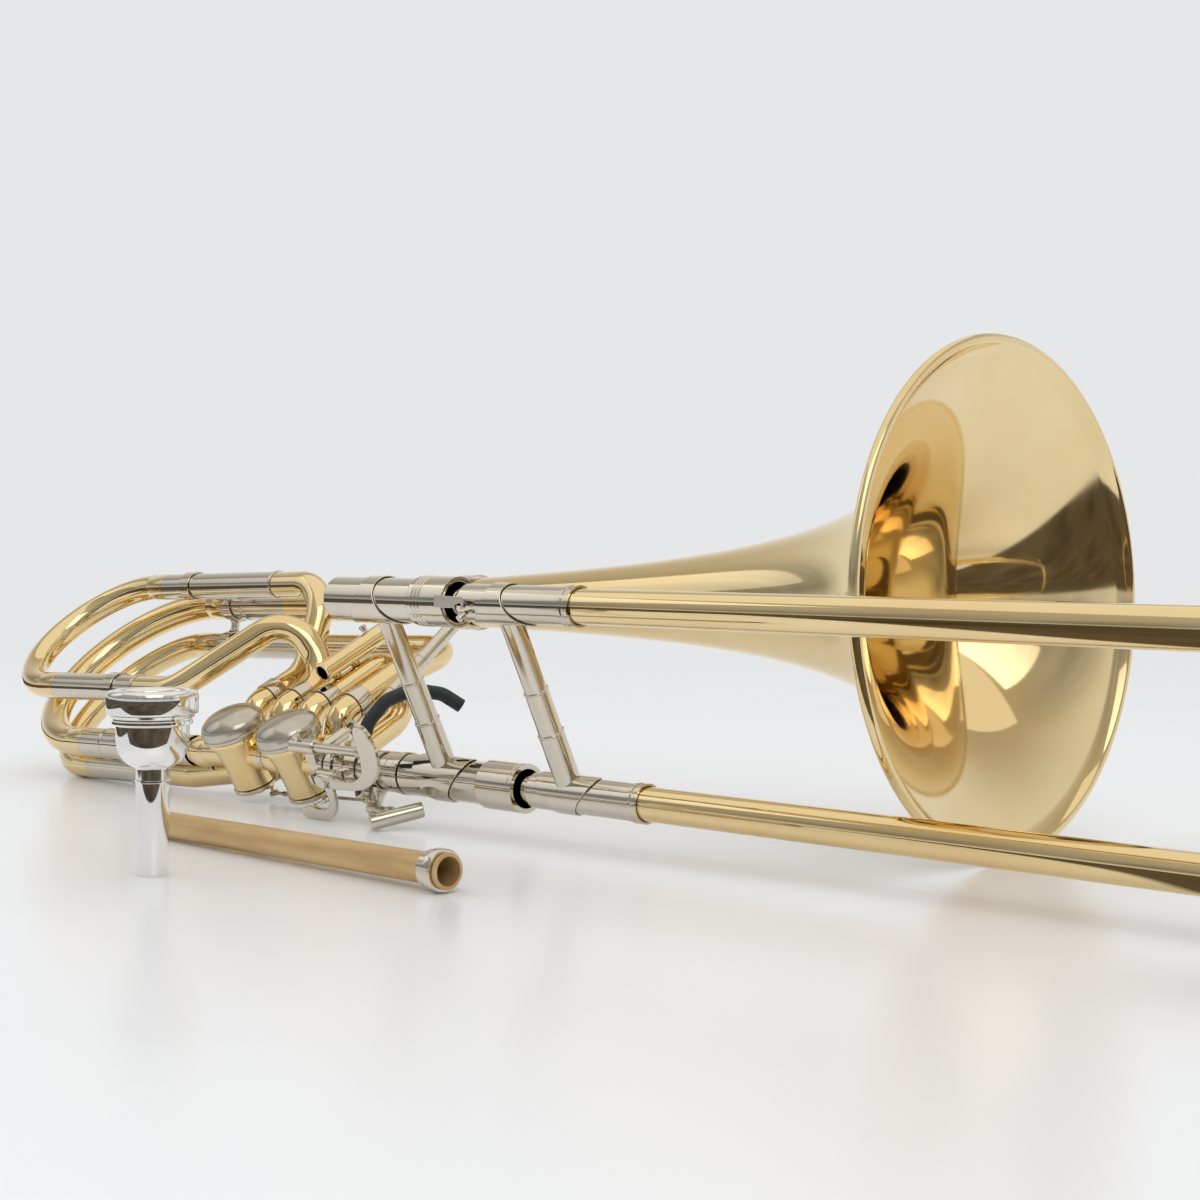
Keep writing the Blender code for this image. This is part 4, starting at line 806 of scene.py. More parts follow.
def make_inner_slide():
    for name, leg, back in (("upper", upper_leg, -0.2895), ("lower", lower_leg, -0.2995)):
        shape = bmesh.new()
        sleeve(shape, leg(back), leg(0.425), INNER_TUBE, INNER_TUBE - 0.0005)
        stand_in(f"inner_tube_{name}", shape, "nickel", soften=0.0)
    for name, leg, back, ringed in (
        ("upper", upper_leg, -0.290, False), ("lower", lower_leg, -0.287, True),
    ):
        start = leg(back)
        length = (leg(-0.202) - start).length
        ring = length - 0.025
        profile = [(0.0, 0.0102), (0.0008, BARREL)]
        if ringed:
            profile += [
                (ring - 0.0020, BARREL), (ring - 0.0006, 0.0112), (ring, 0.0122),
                (length - 0.0030, 0.0122), (length - 0.0028, 0.0119), (length - 0.0022, 0.0119),
                (length - 0.0020, 0.0122), (length, 0.0122), (length, 0.0097),
            ]
        else:
            profile += [(length, BARREL), (length, 0.0097)]
        profile += [(length * 0.55, 0.0097), (length * 0.50, MAIN_BORE), (0.0, MAIN_BORE)]
        shape = bmesh.new()
        turned(shape, start, SLIDE_AXIS, profile, hollow=True)
        stand_in(f"cork_barrel_{name}", shape, "nickel")
    shape = bmesh.new()
    sleeve(shape, lower_leg(-0.3000), lower_leg(-0.2873), 0.0084, MAIN_BORE)
    stand_in("slide_tenon", shape, "nickel", soften=0.0001)
    make_brace("inner_brace", -0.258, BARREL)


def make_brace(name, x, tube_radius):
    """Two saddles round the legs and the three-piece rod between them."""
    high, low = upper_leg(x), lower_leg(x)
    seat = tube_radius + GAP
    inner = seat + 0.0003
    down = (low - high).normalized()
    span = (low - high).length
    r = 0.0055
    shape = bmesh.new()
    turned(shape, high, down, [
        (inner - 0.0020, r), (span * 0.44, r), (span * 0.44 + 0.0002, r + 0.0007),
        (span * 0.45, r + 0.0007), (span * 0.45 + 0.0002, r + 0.0004), (span * 0.66, r + 0.0004),
        (span * 0.66 + 0.0002, r + 0.0011), (span * 0.67, r + 0.0011),
        (span * 0.67 + 0.0002, r + 0.0008), (span - inner + 0.0021, r + 0.0008),
    ])
    for spot, toward in ((high, down), (low, -down)):
        saddle(shape, spot, SLIDE_AXIS, toward, seat, 0.0006, 0.0190, 0.0050)
    stand_in(name, shape, "nickel", soften=0.0002)


def make_lock():
    start = upper_leg(-0.227)
    length = 0.0253
    shape = bmesh.new()
    profile = [(0.0, 0.0117), (0.0006, 0.0122)]
    for at in (0.0040, 0.0064, 0.0088):
        profile += [
            (at, 0.0122), (at + 0.0003, 0.0119), (at + 0.0009, 0.0119), (at + 0.0012, 0.0122),
        ]
    profile += [(length, 0.0122), (length, 0.0111), (0.0, 0.0111)]
    turned(shape, start, SLIDE_AXIS, profile, hollow=True)
    hook_turn = radians(28.0)
    outward = -P_AXIS * cos(hook_turn) + Q_AXIS * sin(hook_turn)
    beside = SLIDE_AXIS.cross(outward)
    root = upper_leg(-0.206) + outward * 0.0118
    plate(shape, [
        (0.0, -0.0030), (0.0195, -0.0026), (0.0205, -0.0018), (0.0205, 0.0022), (0.0198, 0.0031),
        (0.0184, 0.0032), (0.0184, 0.0010), (0.0178, 0.0004), (0.0152, 0.0004), (0.0146, 0.0010),
        (0.0146, 0.0026), (0.0, 0.0028),
    ], root, SLIDE_AXIS, beside, 0.0014)
    stand_in("slide_lock_ring", shape, "nickel", soften=0.0002)
    stud_turn = hook_turn - radians(34.0)
    way = -P_AXIS * cos(stud_turn) + Q_AXIS * sin(stud_turn)
    shape = bmesh.new()
    turned(shape, upper_leg(-0.1895), way, [
        (0.0092, 0.0012), (0.0132, 0.0012), (0.0132, 0.0019), (0.0137, 0.0018), (0.0140, 0.0012),
    ], steps=32)
    stand_in("lock_stud", shape, "nickel", soften=0.0)


def make_outer_slide():
    for name, leg in (("upper", upper_leg), ("lower", lower_leg)):
        shape = bmesh.new()
        sleeve(shape, leg(SLEEVE_BACK_X), leg(CROOK_START_X), OUTER_TUBE, OUTER_TUBE - 0.0005)
        if name == "lower":
            below = -Q_AXIS
            turned(shape, leg(DRAIN_X), below, [
                (0.0078, 0.0042), (0.0084, 0.0040), (0.0100, 0.0036), (0.0110, 0.0036),
                (0.0110, 0.0018), (0.0078, 0.0018),
            ], hollow=True, steps=32)
            for side in (-1, 1):
                plate(shape, [
                    (-0.0028, 0.0066), (0.0028, 0.0066), (0.0020, 0.0128), (0.0010, 0.0135),
                    (-0.0010, 0.0135), (-0.0020, 0.0128),
                ], leg(WATER_KEY_X) + P_AXIS * side * 0.0042, SLIDE_AXIS, below, 0.0012)
        stand_in(f"outer_tube_{name}", shape, "brass", soften=0.0001)
        length, sleeve_bore, ring = 0.072, OUTER_TUBE + GAP, 0.0095
        shape = bmesh.new()
        turned(shape, leg(SLEEVE_BACK_X), SLIDE_AXIS, [
            (0.0, 0.0087), (0.0003, OUTER_SLEEVE), (length - 0.0064, OUTER_SLEEVE),
            (length - 0.0060, ring), (length - 0.0044, ring), (length - 0.0040, OUTER_SLEEVE),
            (length - 0.0028, OUTER_SLEEVE), (length - 0.0024, ring), (length, ring),
            (length, sleeve_bore), (0.0, sleeve_bore),
        ], hollow=True)
        stand_in(f"outer_sleeve_{name}", shape, "nickel", soften=0.0001)
    make_brace("outer_brace", -0.171, OUTER_SLEEVE)
    start = CROOK_START_X + GAP
    curve = half_turn(lower_leg(start + 0.003), upper_leg(start + 0.003), SLIDE_AXIS, 48)
    shape = bmesh.new()
    tube(shape, [lower_leg(start)] + curve + [upper_leg(start)], OUTER_TUBE, 13)
    stand_in("slide_crook", shape, "brass", soften=0.0)
    shape = bmesh.new()
    turned(shape, curve[24], SLIDE_AXIS, [
        (0.0084, 0.0045), (0.0100, 0.0050), (0.0130, 0.0056), (0.0145, 0.0060), (0.0158, 0.0058),
        (0.0168, 0.0050), (0.0174, 0.0038), (0.0176, 0.0020),
    ])
    stand_in("crook_bumper", shape, "rubber")


def make_water_key():
    below = -Q_AXIS
    pivot = lower_leg(WATER_KEY_X) + below * 0.0118
    shape = bmesh.new()
    plate(shape, [
        (-0.0220, -0.0004), (-0.0100, -0.0002), (0.0195, 0.0018), (0.0195, 0.0034),
        (-0.0060, 0.0032), (-0.0220, 0.0012),
    ], pivot, SLIDE_AXIS, below, 0.0044)
    turned(shape, lower_leg(DRAIN_X), below, [
        (0.0113, 0.0036), (0.0125, 0.0038), (0.0142, 0.0038), (0.0145, 0.0034),
    ], steps=32)
    rod(shape, pivot - P_AXIS * 0.0033, pivot + P_AXIS * 0.0033, 0.0010, 20)
    stand_in("water_key", shape, "nickel", soften=0.0003)


def make_braces():
    foot, head = main_line(BELL_BRACE_X), bell_line(BELL_BRACE_X)
    way = (head - foot).normalized()
    span = (head - foot).length
    seat, bell_seat = 0.0086, flare(BELL_BRACE_X) + 0.0011
    shape = bmesh.new()
    seats = (
        (foot, SLIDE_AXIS * 0.0043, seat),
        (head, BELL_AXIS * 0.0060, bell_seat),
    )
    for spot, reach, bore in seats:
        sleeve(shape, spot - reach, spot + reach, bore + SADDLE_WALL, bore)
    turned(shape, foot, way, [
        (seat + 0.0004, 0.0062), (seat + 0.0020, 0.0048), (seat + 0.0050, 0.0042),
        (span * 0.42, 0.0042), (span * 0.42 + 0.0002, 0.0046), (span * 0.45, 0.0046),
        (span * 0.45 + 0.0002, 0.0044), (span * 0.62, 0.0044), (span * 0.62 + 0.0002, 0.0047),
        (span * 0.65, 0.0047), (span * 0.65 + 0.0002, 0.0042), (span - bell_seat - 0.0050, 0.0042),
        (span - bell_seat - 0.0020, 0.0048), (span - bell_seat - 0.0004, 0.0062),
    ])
    stand_in("bell_brace", shape, "nickel")
    upper = ((GB_UPPER, LOOP_SLEEVE), (F_UPPER, LOOP_SLEEVE))
    lower = ((GB_LOWER, LOOP_SLEEVE), (F_LOWER, LOOP_SLEEVE))
    make_tie("wrap_brace", -0.5805, (TAIL, TAIL_SLEEVE), upper)
    make_tie("lower_wrap_brace", -0.5450, (MAIN, MAIN_SLEEVE), lower)


def make_tie(name, x, middle, others):
    """A saddle on each of three tubes, with waisted rods from the middle one to the others."""
    shape = bmesh.new()
    start = bell_line(x, middle[0])
    for offset, radius in (middle, *others):
        spot = bell_line(x, offset)
        seat = radius + GAP
        reach = BELL_AXIS * 0.0045
        sleeve(shape, spot - reach, spot + reach, seat + SADDLE_WALL, seat)
    for offset, radius in others:
        way = bell_line(x, offset) - start
        begin, end = middle[1] + 0.0008, way.length - radius - 0.0008
        turned(shape, start, way, [
            (begin, 0.0040), (begin + 0.0012, 0.0030), (begin + 0.0024, 0.0027),
            (end - 0.0024, 0.0027), (end - 0.0012, 0.0030), (end, 0.0040),
        ], steps=40)
    stand_in(name, shape, "nickel")


def make_hand_rest_socket():
    x = FRONT_VALVE_X - PORT_SPACING
    shape = bmesh.new()
    start, end = main_line(x, SOCKET_OPEN_P, SOCKET_Q), main_line(x, SOCKET_FAR_P, SOCKET_Q)
    length = (end - start).length
    turned(shape, start, P_AXIS, [
        (0.0, 0.0045), (0.0004, 0.0057), (0.0010, 0.00585), (0.0024, 0.00585), (0.0028, 0.0057),
        (length, 0.0057), (length, 0.0042), (0.0003, 0.0042),
    ], hollow=True)
    for p in (0.053, 0.068):
        rod(shape, main_line(x, p, 0.0223), main_line(x, p, 0.0247), 0.0028, 32)
    stand_in("hand_rest_socket", shape, "brass", soften=0.0001)
    way = (Q_AXIS - SLIDE_AXIS * 0.35).normalized()
    shape = bmesh.new()
    turned(shape, main_line(x, 0.084, SOCKET_Q), way, [
        (0.00605, 0.0016), (0.0076, 0.0016), (0.0078, 0.0022), (0.0094, 0.0022), (0.0099, 0.0018),
        (0.0100, 0.0010),
    ], steps=32)
    stand_in("socket_screw", shape, "nickel", soften=0.0)


# Linkage

def make_thumb_lever(settings):
    axis = main_line(THUMB_X, 0.0, THUMB_Q)
    side = -P_AXIS * GRIP_P
    shape = bmesh.new()
    sleeve(shape, axis - P_AXIS * 0.0125, axis + P_AXIS * 0.0105, 0.0034, 0.0019, 40)
    sleeve(shape, main_line(THUMB_X - 0.0028), main_line(THUMB_X + 0.0028), 0.0095, 0.0086)
    rod(shape, main_line(THUMB_X, 0.0, 0.0090), axis - Q_AXIS * 0.0026, POST, 32)
    stand_in("thumb_lever_bearing", shape, "nickel")
    shape = bmesh.new()
    plate(shape, [
        (-0.0040, -0.0030), (-0.0030, -0.0040), (0.0030, -0.0040), (0.0040, -0.0030),
        (0.0060, 0.0090), (0.0052, 0.0100), (-0.0012, 0.0100), (-0.0020, 0.0090),
    ], axis + side, SLIDE_AXIS, Q_AXIS, 0.0028)
    line = axis + side + Q_AXIS * 0.0065
    turned(shape, line - SLIDE_AXIS * 0.0120, SLIDE_AXIS, [
        (0.0, 0.0034), (0.0006, 0.0040), (0.0194, 0.0040), (0.0200, 0.0034),
    ], steps=40)
    grip_start = main_line(-0.302, -GRIP_P, 0.0203)
    rod(shape, line, grip_start, 0.0026, 32)
    ball(shape, grip_start, 0.0032)
    rod(shape, axis + side, axis + P_AXIS * 0.0178, PIN, 24)
    strap(shape, [
        (0.0, 0.0040, 0.0066), (0.0, 0.0012, 0.0072), (0.0008, -0.0100, 0.0042),
        (0.0002, -0.0400, 0.0046), (0.0, -0.0448, 0.0038),
    ], axis + P_AXIS * DRIVE_P, SLIDE_AXIS, Q_AXIS, STRAP)
    turned(shape, line - SLIDE_AXIS * 0.0060, Q_AXIS, [
        (0.0036, 0.0016), (0.0052, 0.0016), (0.0054, 0.0022), (0.0066, 0.0022), (0.0068, 0.0018),
    ], steps=24)
    stand_in("thumb_lever", shape, "nickel", soften=0.0003)
    bend = main_line(-0.300, -0.0040, 0.0325)
    path = [
        grip_start + (bend - grip_start).normalized() * 0.0035, bend,
        main_line(-0.297, 0.0090, 0.0380), main_line(-0.291, 0.0230, 0.0370),
        main_line(-0.283, 0.0340, 0.0290), main_line(-0.277, 0.0385, 0.0195),
    ]
    shape = bmesh.new()
    route = bent_route(path, 0.0120)
    tube(shape, route, settings.grip_radius, 9)
    stand_in("thumb_lever_grip", shape, "rubber", soften=0.0010)


def make_paddle_lever():
    axis = main_line(PADDLE_X, PADDLE_P, PADDLE_Q)
    centre = main_line(PADDLE_X)
    inward = (centre - axis).normalized()
    shape = bmesh.new()
    sleeve(shape, axis - SLIDE_AXIS * 0.0070, axis + SLIDE_AXIS * 0.0070, 0.0034, 0.0019, 40)
    sleeve(shape, main_line(PADDLE_X - 0.0045), main_line(PADDLE_X + 0.0045), 0.0106, 0.0097)
    rod(shape, axis + inward * 0.0026, centre - inward * 0.0100, POST, 32)
    stand_in("paddle_lever_bearing", shape, "nickel")
    face = axis - P_AXIS * 0.0055
    shape = bmesh.new()
    strap(shape, [
        (0.0, 0.0, 0.0084), (0.014, -0.0006, 0.0056), (0.029, 0.0004, 0.0056),
        (0.040, 0.0055, 0.0080), (0.0465, 0.0140, 0.0118), (0.0490, 0.0230, 0.0134),
        (0.0492, 0.0300, 0.0124), (0.0488, 0.0345, 0.0094), (0.0486, 0.0366, 0.0050),
        (0.0486, 0.0371, 0.0012),
    ], face, SLIDE_AXIS, Q_AXIS, STRAP)
    tail_q = -0.0215
    strap(shape, [
        (0.005, 0.002, 0.0084), (0.0040, -0.0110, 0.0050), (-0.001, tail_q + 0.0030, 0.0052),
        (-0.0090, tail_q + 0.0002, 0.0060), (-0.0180, tail_q, 0.0074), (-0.0240, tail_q, 0.0066),
        (-0.0262, tail_q, 0.0036), (-0.0266, tail_q, 0.0010),
    ], face, SLIDE_AXIS, Q_AXIS, STRAP)
    rod(shape, face - P_AXIS * 0.0016, face + P_AXIS * 0.0020, 0.0040, 40)
    rod(shape, axis - SLIDE_AXIS * 0.0090, axis + SLIDE_AXIS * 0.0090, PIN, 24)
    for side in (-1, 1):
        plate(shape, [
            (-0.0030, -0.0020), (-0.0020, -0.0030), (0.0061, -0.0030), (0.0061, 0.0030),
            (-0.0020, 0.0030), (-0.0030, 0.0020),
        ], axis + SLIDE_AXIS * side * 0.0083, -P_AXIS, Q_AXIS, 0.0020)
    stand_in("paddle_lever", shape, "nickel", soften=0.0005)


def make_links(settings):
    arm = (SLIDE_AXIS + P_AXIS) * ARM_LENGTH * cos(pi / 4.0)
    front_end = main_line(-0.3500, -0.0224, -0.0135)
    rear_end = main_line(THUMB_X, 0.0108, REAR_LINK_Q)
    rows = (
        ("front_link", FRONT_VALVE_X, FRONT_LINK_Q, front_end),
        ("rear_link", REAR_VALVE_X, REAR_LINK_Q, rear_end),
    )
    for name, valve_x, link_q, far in rows:
        pin = main_line(valve_x) + arm + Q_AXIS * link_q
        way = (far - pin).normalized()
        shape = bmesh.new()
        turned(shape, pin - Q_AXIS * 0.0010, Q_AXIS, [
            (0.0, 0.0024), (0.0003, 0.0027), (0.0017, 0.0027), (0.0020, 0.0024), (0.0020, 0.0014),
            (0.0, 0.0014),
        ], hollow=True, steps=40)
        rod(shape, pin + way * 0.0021, far, settings.link_radius, 20)
        ball(shape, far, 0.0019)
        for begin in (0.0065, (far - pin).length - 0.0085):
            spot = far - way * begin
            turned(shape, spot, way, [
                (0.0, 0.0013), (0.0003, 0.0017), (0.0030, 0.0017), (0.0033, 0.0013),
            ], steps=6)
        stand_in(name, shape, "nickel", soften=0.0001)


def make_t_bar(settings):
    centre = main_line(T_BAR_X)
    way = (-P_AXIS - Q_AXIS).normalized()
    shape = bmesh.new()
    sleeve(shape, centre - SLIDE_AXIS * 0.0055, centre + SLIDE_AXIS * 0.0055, 0.0106, 0.0097)
    turned(shape, centre, way, [
        (0.0100, 0.0064), (0.0116, 0.0054), (0.0130, 0.0050), (0.0165, 0.0050),
        (0.0165, 0.0029), (0.0100, 0.0029),
    ], hollow=True)
    stand_in("t_bar_socket", shape, "nickel")
    swivel = centre + way * 0.0168
    bar_at = CORNER + Vector((-0.2795, -0.1240, 0.0075))
    shape = bmesh.new()
    rod(shape, swivel - way * 0.0050, swivel + way * 0.0010, 0.0026, 32)
    turned(shape, swivel, way, [
        (0.0, 0.0044), (0.0003, 0.0046), (0.0012, 0.0044), (0.0015, 0.0032),
    ], steps=40)
    stem = bent_route([swivel + way * 0.0006, swivel + way * 0.0045, bar_at], 0.0038)
    tube(shape, stem, 0.0034, 9)
    down = (bar_at - stem[-2]).normalized()
    turned(shape, bar_at - down * 0.0100, down, [
        (0.0, 0.0036), (0.0002, 0.0041), (0.0016, 0.0041), (0.0018, 0.0036),
    ], steps=40)
    bar_way = Vector((0.55, 0.80, 0.22)).normalized()
    radius = settings.bar_radius
    turned(shape, bar_at - bar_way * 0.014, bar_way, [
        (0.0, radius - 0.0011), (0.0002, radius - 0.0003), (0.0006, radius), (0.0274, radius),
        (0.0278, radius - 0.0003), (0.0280, radius - 0.0011),
    ])
    stand_in("t_bar", shape, "nickel", soften=0.0001)
    screw_way = SLIDE_AXIS.cross(way)
    if screw_way.z < 0.0:
        screw_way = -screw_way
    shape = bmesh.new()
    turned(shape, centre + way * 0.0141, screw_way, [
        (0.0053, 0.0016), (0.0072, 0.0016), (0.0074, 0.0036), (0.0112, 0.0036), (0.0118, 0.0028),
    ], steps=18)
    stand_in("t_bar_screw", shape, "nickel", soften=0.0003)


# Loose pieces

def make_mouthpiece():
    tip, top = CORNER + MOUTHPIECE_AT, MOUTHPIECE_TOP
    outline = [
        (0.0, 0.0064), (0.0004, 0.0066), (0.0408, 0.0074), (0.0411, 0.0078), (0.0418, 0.0078),
        (0.0422, 0.0073), (0.0468, 0.0073), (0.0474, 0.0078), (0.0480, 0.0090), (0.0488, 0.0104),
        (0.0500, 0.0120), (0.0515, 0.0133), (0.0535, 0.0145), (0.0560, 0.0153), (0.0590, 0.0157),
        (0.0658, 0.0159), (0.0664, 0.0170), (0.0668, 0.0174), (0.0679, 0.0174), (0.0682, 0.0171),
        (0.0684, 0.0168), (0.0690, 0.0168), (0.0692, 0.0174), (0.0694, 0.0180), (0.0703, 0.0182),
        (0.0705, 0.0179), (0.0707, 0.0184), (0.0711, 0.0196), (0.0716, 0.0198),
        (top - 0.0030, 0.0199), (top - 0.0018, 0.0197), (top - 0.0009, 0.0191),
        (top - 0.0003, 0.0182), (top, 0.0172), (top - 0.0002, 0.0160), (top - 0.0009, 0.0149),
        (top - 0.0020, 0.0141), (top - 0.0040, 0.0136),
    ]
    cup = [
        (top - 0.0090, 0.0131), (0.0660, 0.0122), (0.0600, 0.0110), (0.0560, 0.0092),
        (0.0530, 0.0070), (0.0508, 0.0050), (0.0485, 0.0038), (0.0440, 0.0036), (0.0, 0.0056),
    ]
    shape = bmesh.new()
    turned(shape, tip, UP, outline + cup, hollow=True, steps=120)
    stand_in("mouthpiece", shape, "silver", soften=0.0)


def make_leadpipe():
    front = CORNER + Vector((-0.1206, -0.2340, 0.0093))
    back = CORNER + Vector((-0.3560, -0.2190, 0.0068))
    way = (back - front).normalized()
    length = (back - front).length
    shape = bmesh.new()
    turned(shape, front, way, [
        (0.0, 0.0062), (0.0003, 0.0077), (0.0020, 0.0077), (0.0020, 0.0067), (length, 0.0064),
        (length, 0.0059), (0.0400, 0.0056), (0.0004, 0.0062),
    ], hollow=True)
    stand_in("leadpipe", shape, "tarnish", soften=0.0001)
    shape = bmesh.new()
    turned(shape, front, way, [
        (0.0023, 0.0089), (0.0028, 0.0092), (0.0074, 0.0092), (0.0078, 0.0082), (0.0120, 0.0082),
        (0.0120, 0.0069), (0.0023, 0.0069),
    ], hollow=True)
    stand_in("leadpipe_collar", shape, "nickel")


# Stage

def make_stage(settings):
    scene = bpy.context.scene
    forward = (LEVEL * cos(PITCH) - UP * sin(PITCH)).normalized()
    camera = bpy.data.cameras.new("Camera")
    camera.lens = settings.lens
    camera.sensor_width = 36.0
    camera.clip_start = 0.01
    holder = bpy.data.objects.new("Camera", camera)
    holder.location = EYE
    holder.rotation_euler = forward.to_track_quat("-Z", "Y").to_euler()
    scene.collection.objects.link(holder)
    scene.camera = holder
    scene.view_settings.view_transform = "Standard"
    floor = bmesh.new()
    turn = Matrix((ACROSS, LEVEL, UP)).transposed().to_4x4()
    middle = EYE + LEVEL * (BACK_AHEAD - FLOOR_SIZE)
    middle.z = 0.0
    bmesh.ops.create_grid(
        floor, x_segments=1, y_segments=1, size=FLOOR_SIZE, matrix=Matrix.Translation(middle) @ turn
    )
    mesh = bpy.data.meshes.new("floor")
    floor.to_mesh(mesh)
    floor.free()
    mesh.materials.append(floor_paint())
    table = bpy.data.objects.new("floor", mesh)
    scene.collection.objects.link(table)
    make_world(settings)
    for name, place, size, power in (
        ("window", Vector((1.6, -1.1, 1.7)), (1.8, 1.4), settings.window_power),
        ("sky", Vector((-0.2, 0.1, 2.6)), (4.0, 4.0), settings.sky_power),
        ("left", Vector((-1.9, -1.0, 1.2)), (1.2, 1.2), settings.left_power),
    ):
        lamp = bpy.data.lights.new(name, "AREA")
        lamp.shape = "RECTANGLE"
        lamp.size, lamp.size_y = size
        lamp.energy = power
        lit = bpy.data.objects.new(name, lamp)
        lit.location = place
        lit.rotation_euler = (Vector((0.0, 0.0, 0.08)) - place).to_track_quat("-Z", "Y").to_euler()
        scene.collection.objects.link(lit)
    make_screen()


def make_screen():
    """Painted dark reflection of the dim room round the table, on an arc only bright metal sees.

    It thins out upwards and towards both ends, so that nothing shows where it stops.
    """
    radius, height = 1.35, 1.5
    start, end = radians(-192.0), radians(30.0)
    shape = bmesh.new()
    foot = Vector((radius * cos(start), radius * sin(start), 0.001))
    verts = [shape.verts.new(foot), shape.verts.new(foot + UP * height)]
    edge = shape.edges.new(verts)
    bmesh.ops.spin(
        shape, geom=verts + [edge], cent=(0.0, 0.0, 0.0), axis=UP, angle=end - start, steps=72,
        use_merge=False, use_duplicate=False,
    )
    for face in shape.faces:
        if face.normal.dot(face.calc_center_median()) > 0.0:
            face.normal_flip()
    mesh = bpy.data.meshes.new("painted_dark_reflection")
    shape.to_mesh(mesh)
    shape.free()
    # The sheet glows a painted dark shade that only the metal's reflections see
    material = bpy.data.materials.new("Painted dark reflection")
    material.use_nodes = True
    tree = material.node_tree
    tree.nodes.clear()
    place = add_node(tree, "ShaderNodeTexCoord")
    split = add_node(tree, "ShaderNodeSeparateXYZ", links={0: place.outputs["Object"]})
    low = add_node(tree, "ShaderNodeMapRange", {
        "From Min": 0.08, "From Max": height, "To Min": 1.0, "To Max": 0.0,
    }, {"Value": split.outputs["Z"]})
    # Both ends fade over the last stretch of the arc, measured along the table's length
    ends = add_node(tree, "ShaderNodeVectorMath", {
        "operation": "DOT_PRODUCT", 1: (0.157, -0.988, 0.0),
    }, {0: place.outputs["Object"]})
    inside = add_node(tree, "ShaderNodeMapRange", {
        "interpolation_type": "SMOOTHSTEP", "From Min": -0.48, "From Max": 0.05,
    }, {"Value": ends.outputs["Value"]})
    stretch = add_node(tree, "ShaderNodeMapping", {"Scale": (1.0, 1.0, 0.15)}, {
        "Vector": place.outputs["Object"],
    })
    dark_streaks = mottle(tree, stretch.outputs["Vector"], 190.0, 0.72, 1.0)
    # It stands on a soft foot and is clear from behind, so that the floor shows no line of it
    rise = add_node(tree, "ShaderNodeMapRange", {
        "interpolation_type": "SMOOTHSTEP", "From Min": 0.0, "From Max": 0.32,
    }, {"Value": split.outputs["Z"]})
    sides = add_node(tree, "ShaderNodeNewGeometry")
    front = add_node(tree, "ShaderNodeMath", {"operation": "SUBTRACT", 0: 1.0}, {
        1: sides.outputs["Backfacing"],
    })
    paths = add_node(tree, "ShaderNodeLightPath")
    cover = low.outputs[0]
    for share in (
        inside.outputs[0], dark_streaks, rise.outputs[0], front.outputs[0],
        paths.outputs["Is Glossy Ray"],
    ):
        thinned = add_node(tree, "ShaderNodeMath", {"operation": "MULTIPLY"}, {0: cover, 1: share})
        cover = thinned.outputs[0]
    # Painted dark reflection: a dim brown-grey glow in place of the shaded room
    painted_dark = add_node(tree, "ShaderNodeEmission", {"Strength": 1.0}, {
        "Color": tinted(tree, stretch.outputs["Vector"], 240.0, "43392E", "3C4140"),
    })
    clear = add_node(tree, "ShaderNodeBsdfTransparent")
    mix = add_node(tree, "ShaderNodeMixShader", links={
        0: cover, 1: clear.outputs[0], 2: painted_dark.outputs[0],
    })
    add_node(tree, "ShaderNodeOutputMaterial", links={"Surface": mix.outputs[0]})
    mesh.materials.append(material)
    screen = bpy.data.objects.new("painted_dark_reflection", mesh)
    screen.visible_shadow = False
    screen.visible_diffuse = False
    bpy.context.scene.collection.objects.link(screen)


def seen_directly(tree):
    """One where the camera, a reflection or a clear pane looks at the surface."""
    paths = add_node(tree, "ShaderNodeLightPath")
    first = add_node(tree, "ShaderNodeMath", {"operation": "MAXIMUM"}, {
        0: paths.outputs["Is Camera Ray"], 1: paths.outputs["Is Glossy Ray"],
    })
    second = add_node(tree, "ShaderNodeMath", {"operation": "MAXIMUM"}, {
        0: first.outputs[0], 1: paths.outputs["Is Transmission Ray"],
    })
    return second.outputs[0]


def floor_paint():
    """White gloss laminate: pale, with the soft reflection of what stands on it."""
    material, tree, shader, place = new_finish("White gloss laminate with painted dark reflection")
    tree.links.new(tinted(tree, place, 400.0, "F7F7F7", "F3F3F3"), shader.inputs["Base Color"])
    tree.links.new(mottle(tree, place, 160.0, 0.20, 0.24), shader.inputs["Roughness"])
    # Off the table's front edge and left end, glossy rays see a painted dark reflection instead of
    # the floor
    edge = EYE + LEVEL * EDGE_AHEAD
    ahead, left = edge.dot(LEVEL), EYE.dot(ACROSS) - END_BESIDE
    past = add_node(tree, "ShaderNodeVectorMath", {"operation": "DOT_PRODUCT", 1: LEVEL}, {
        0: place,
    })
    front = add_node(tree, "ShaderNodeMapRange", {
        "From Min": ahead + EDGE_BLUR, "From Max": ahead - EDGE_BLUR,
    }, {"Value": past.outputs["Value"]})
    beside = add_node(tree, "ShaderNodeVectorMath", {"operation": "DOT_PRODUCT", 1: ACROSS}, {
        0: place,
    })
    end = add_node(tree, "ShaderNodeMapRange", {
        "From Min": left + EDGE_BLUR, "From Max": left - EDGE_BLUR,
    }, {"Value": beside.outputs["Value"]})
    off = add_node(tree, "ShaderNodeMath", {"operation": "MAXIMUM"}, {
        0: front.outputs[0], 1: end.outputs[0],
    })
    paths = add_node(tree, "ShaderNodeLightPath")
    share = add_node(tree, "ShaderNodeMath", {"operation": "MULTIPLY"}, {
        0: off.outputs[0], 1: paths.outputs["Is Glossy Ray"],
    })
    # Painted dark reflection: a dim brown glow standing for the shaded room past the table's edges
    room = add_node(tree, "ShaderNodeEmission", {"Strength": 1.0}, {
        "Color": tinted(tree, place, 260.0, "40382F", "6C6254"),
    })
    mix = add_node(tree, "ShaderNodeMixShader", links={
        0: share.outputs[0], 1: shader.outputs[0], 2: room.outputs[0],
    })
    tree.links.new(mix.outputs[0], tree.nodes["Material Output"].inputs["Surface"])
    return material


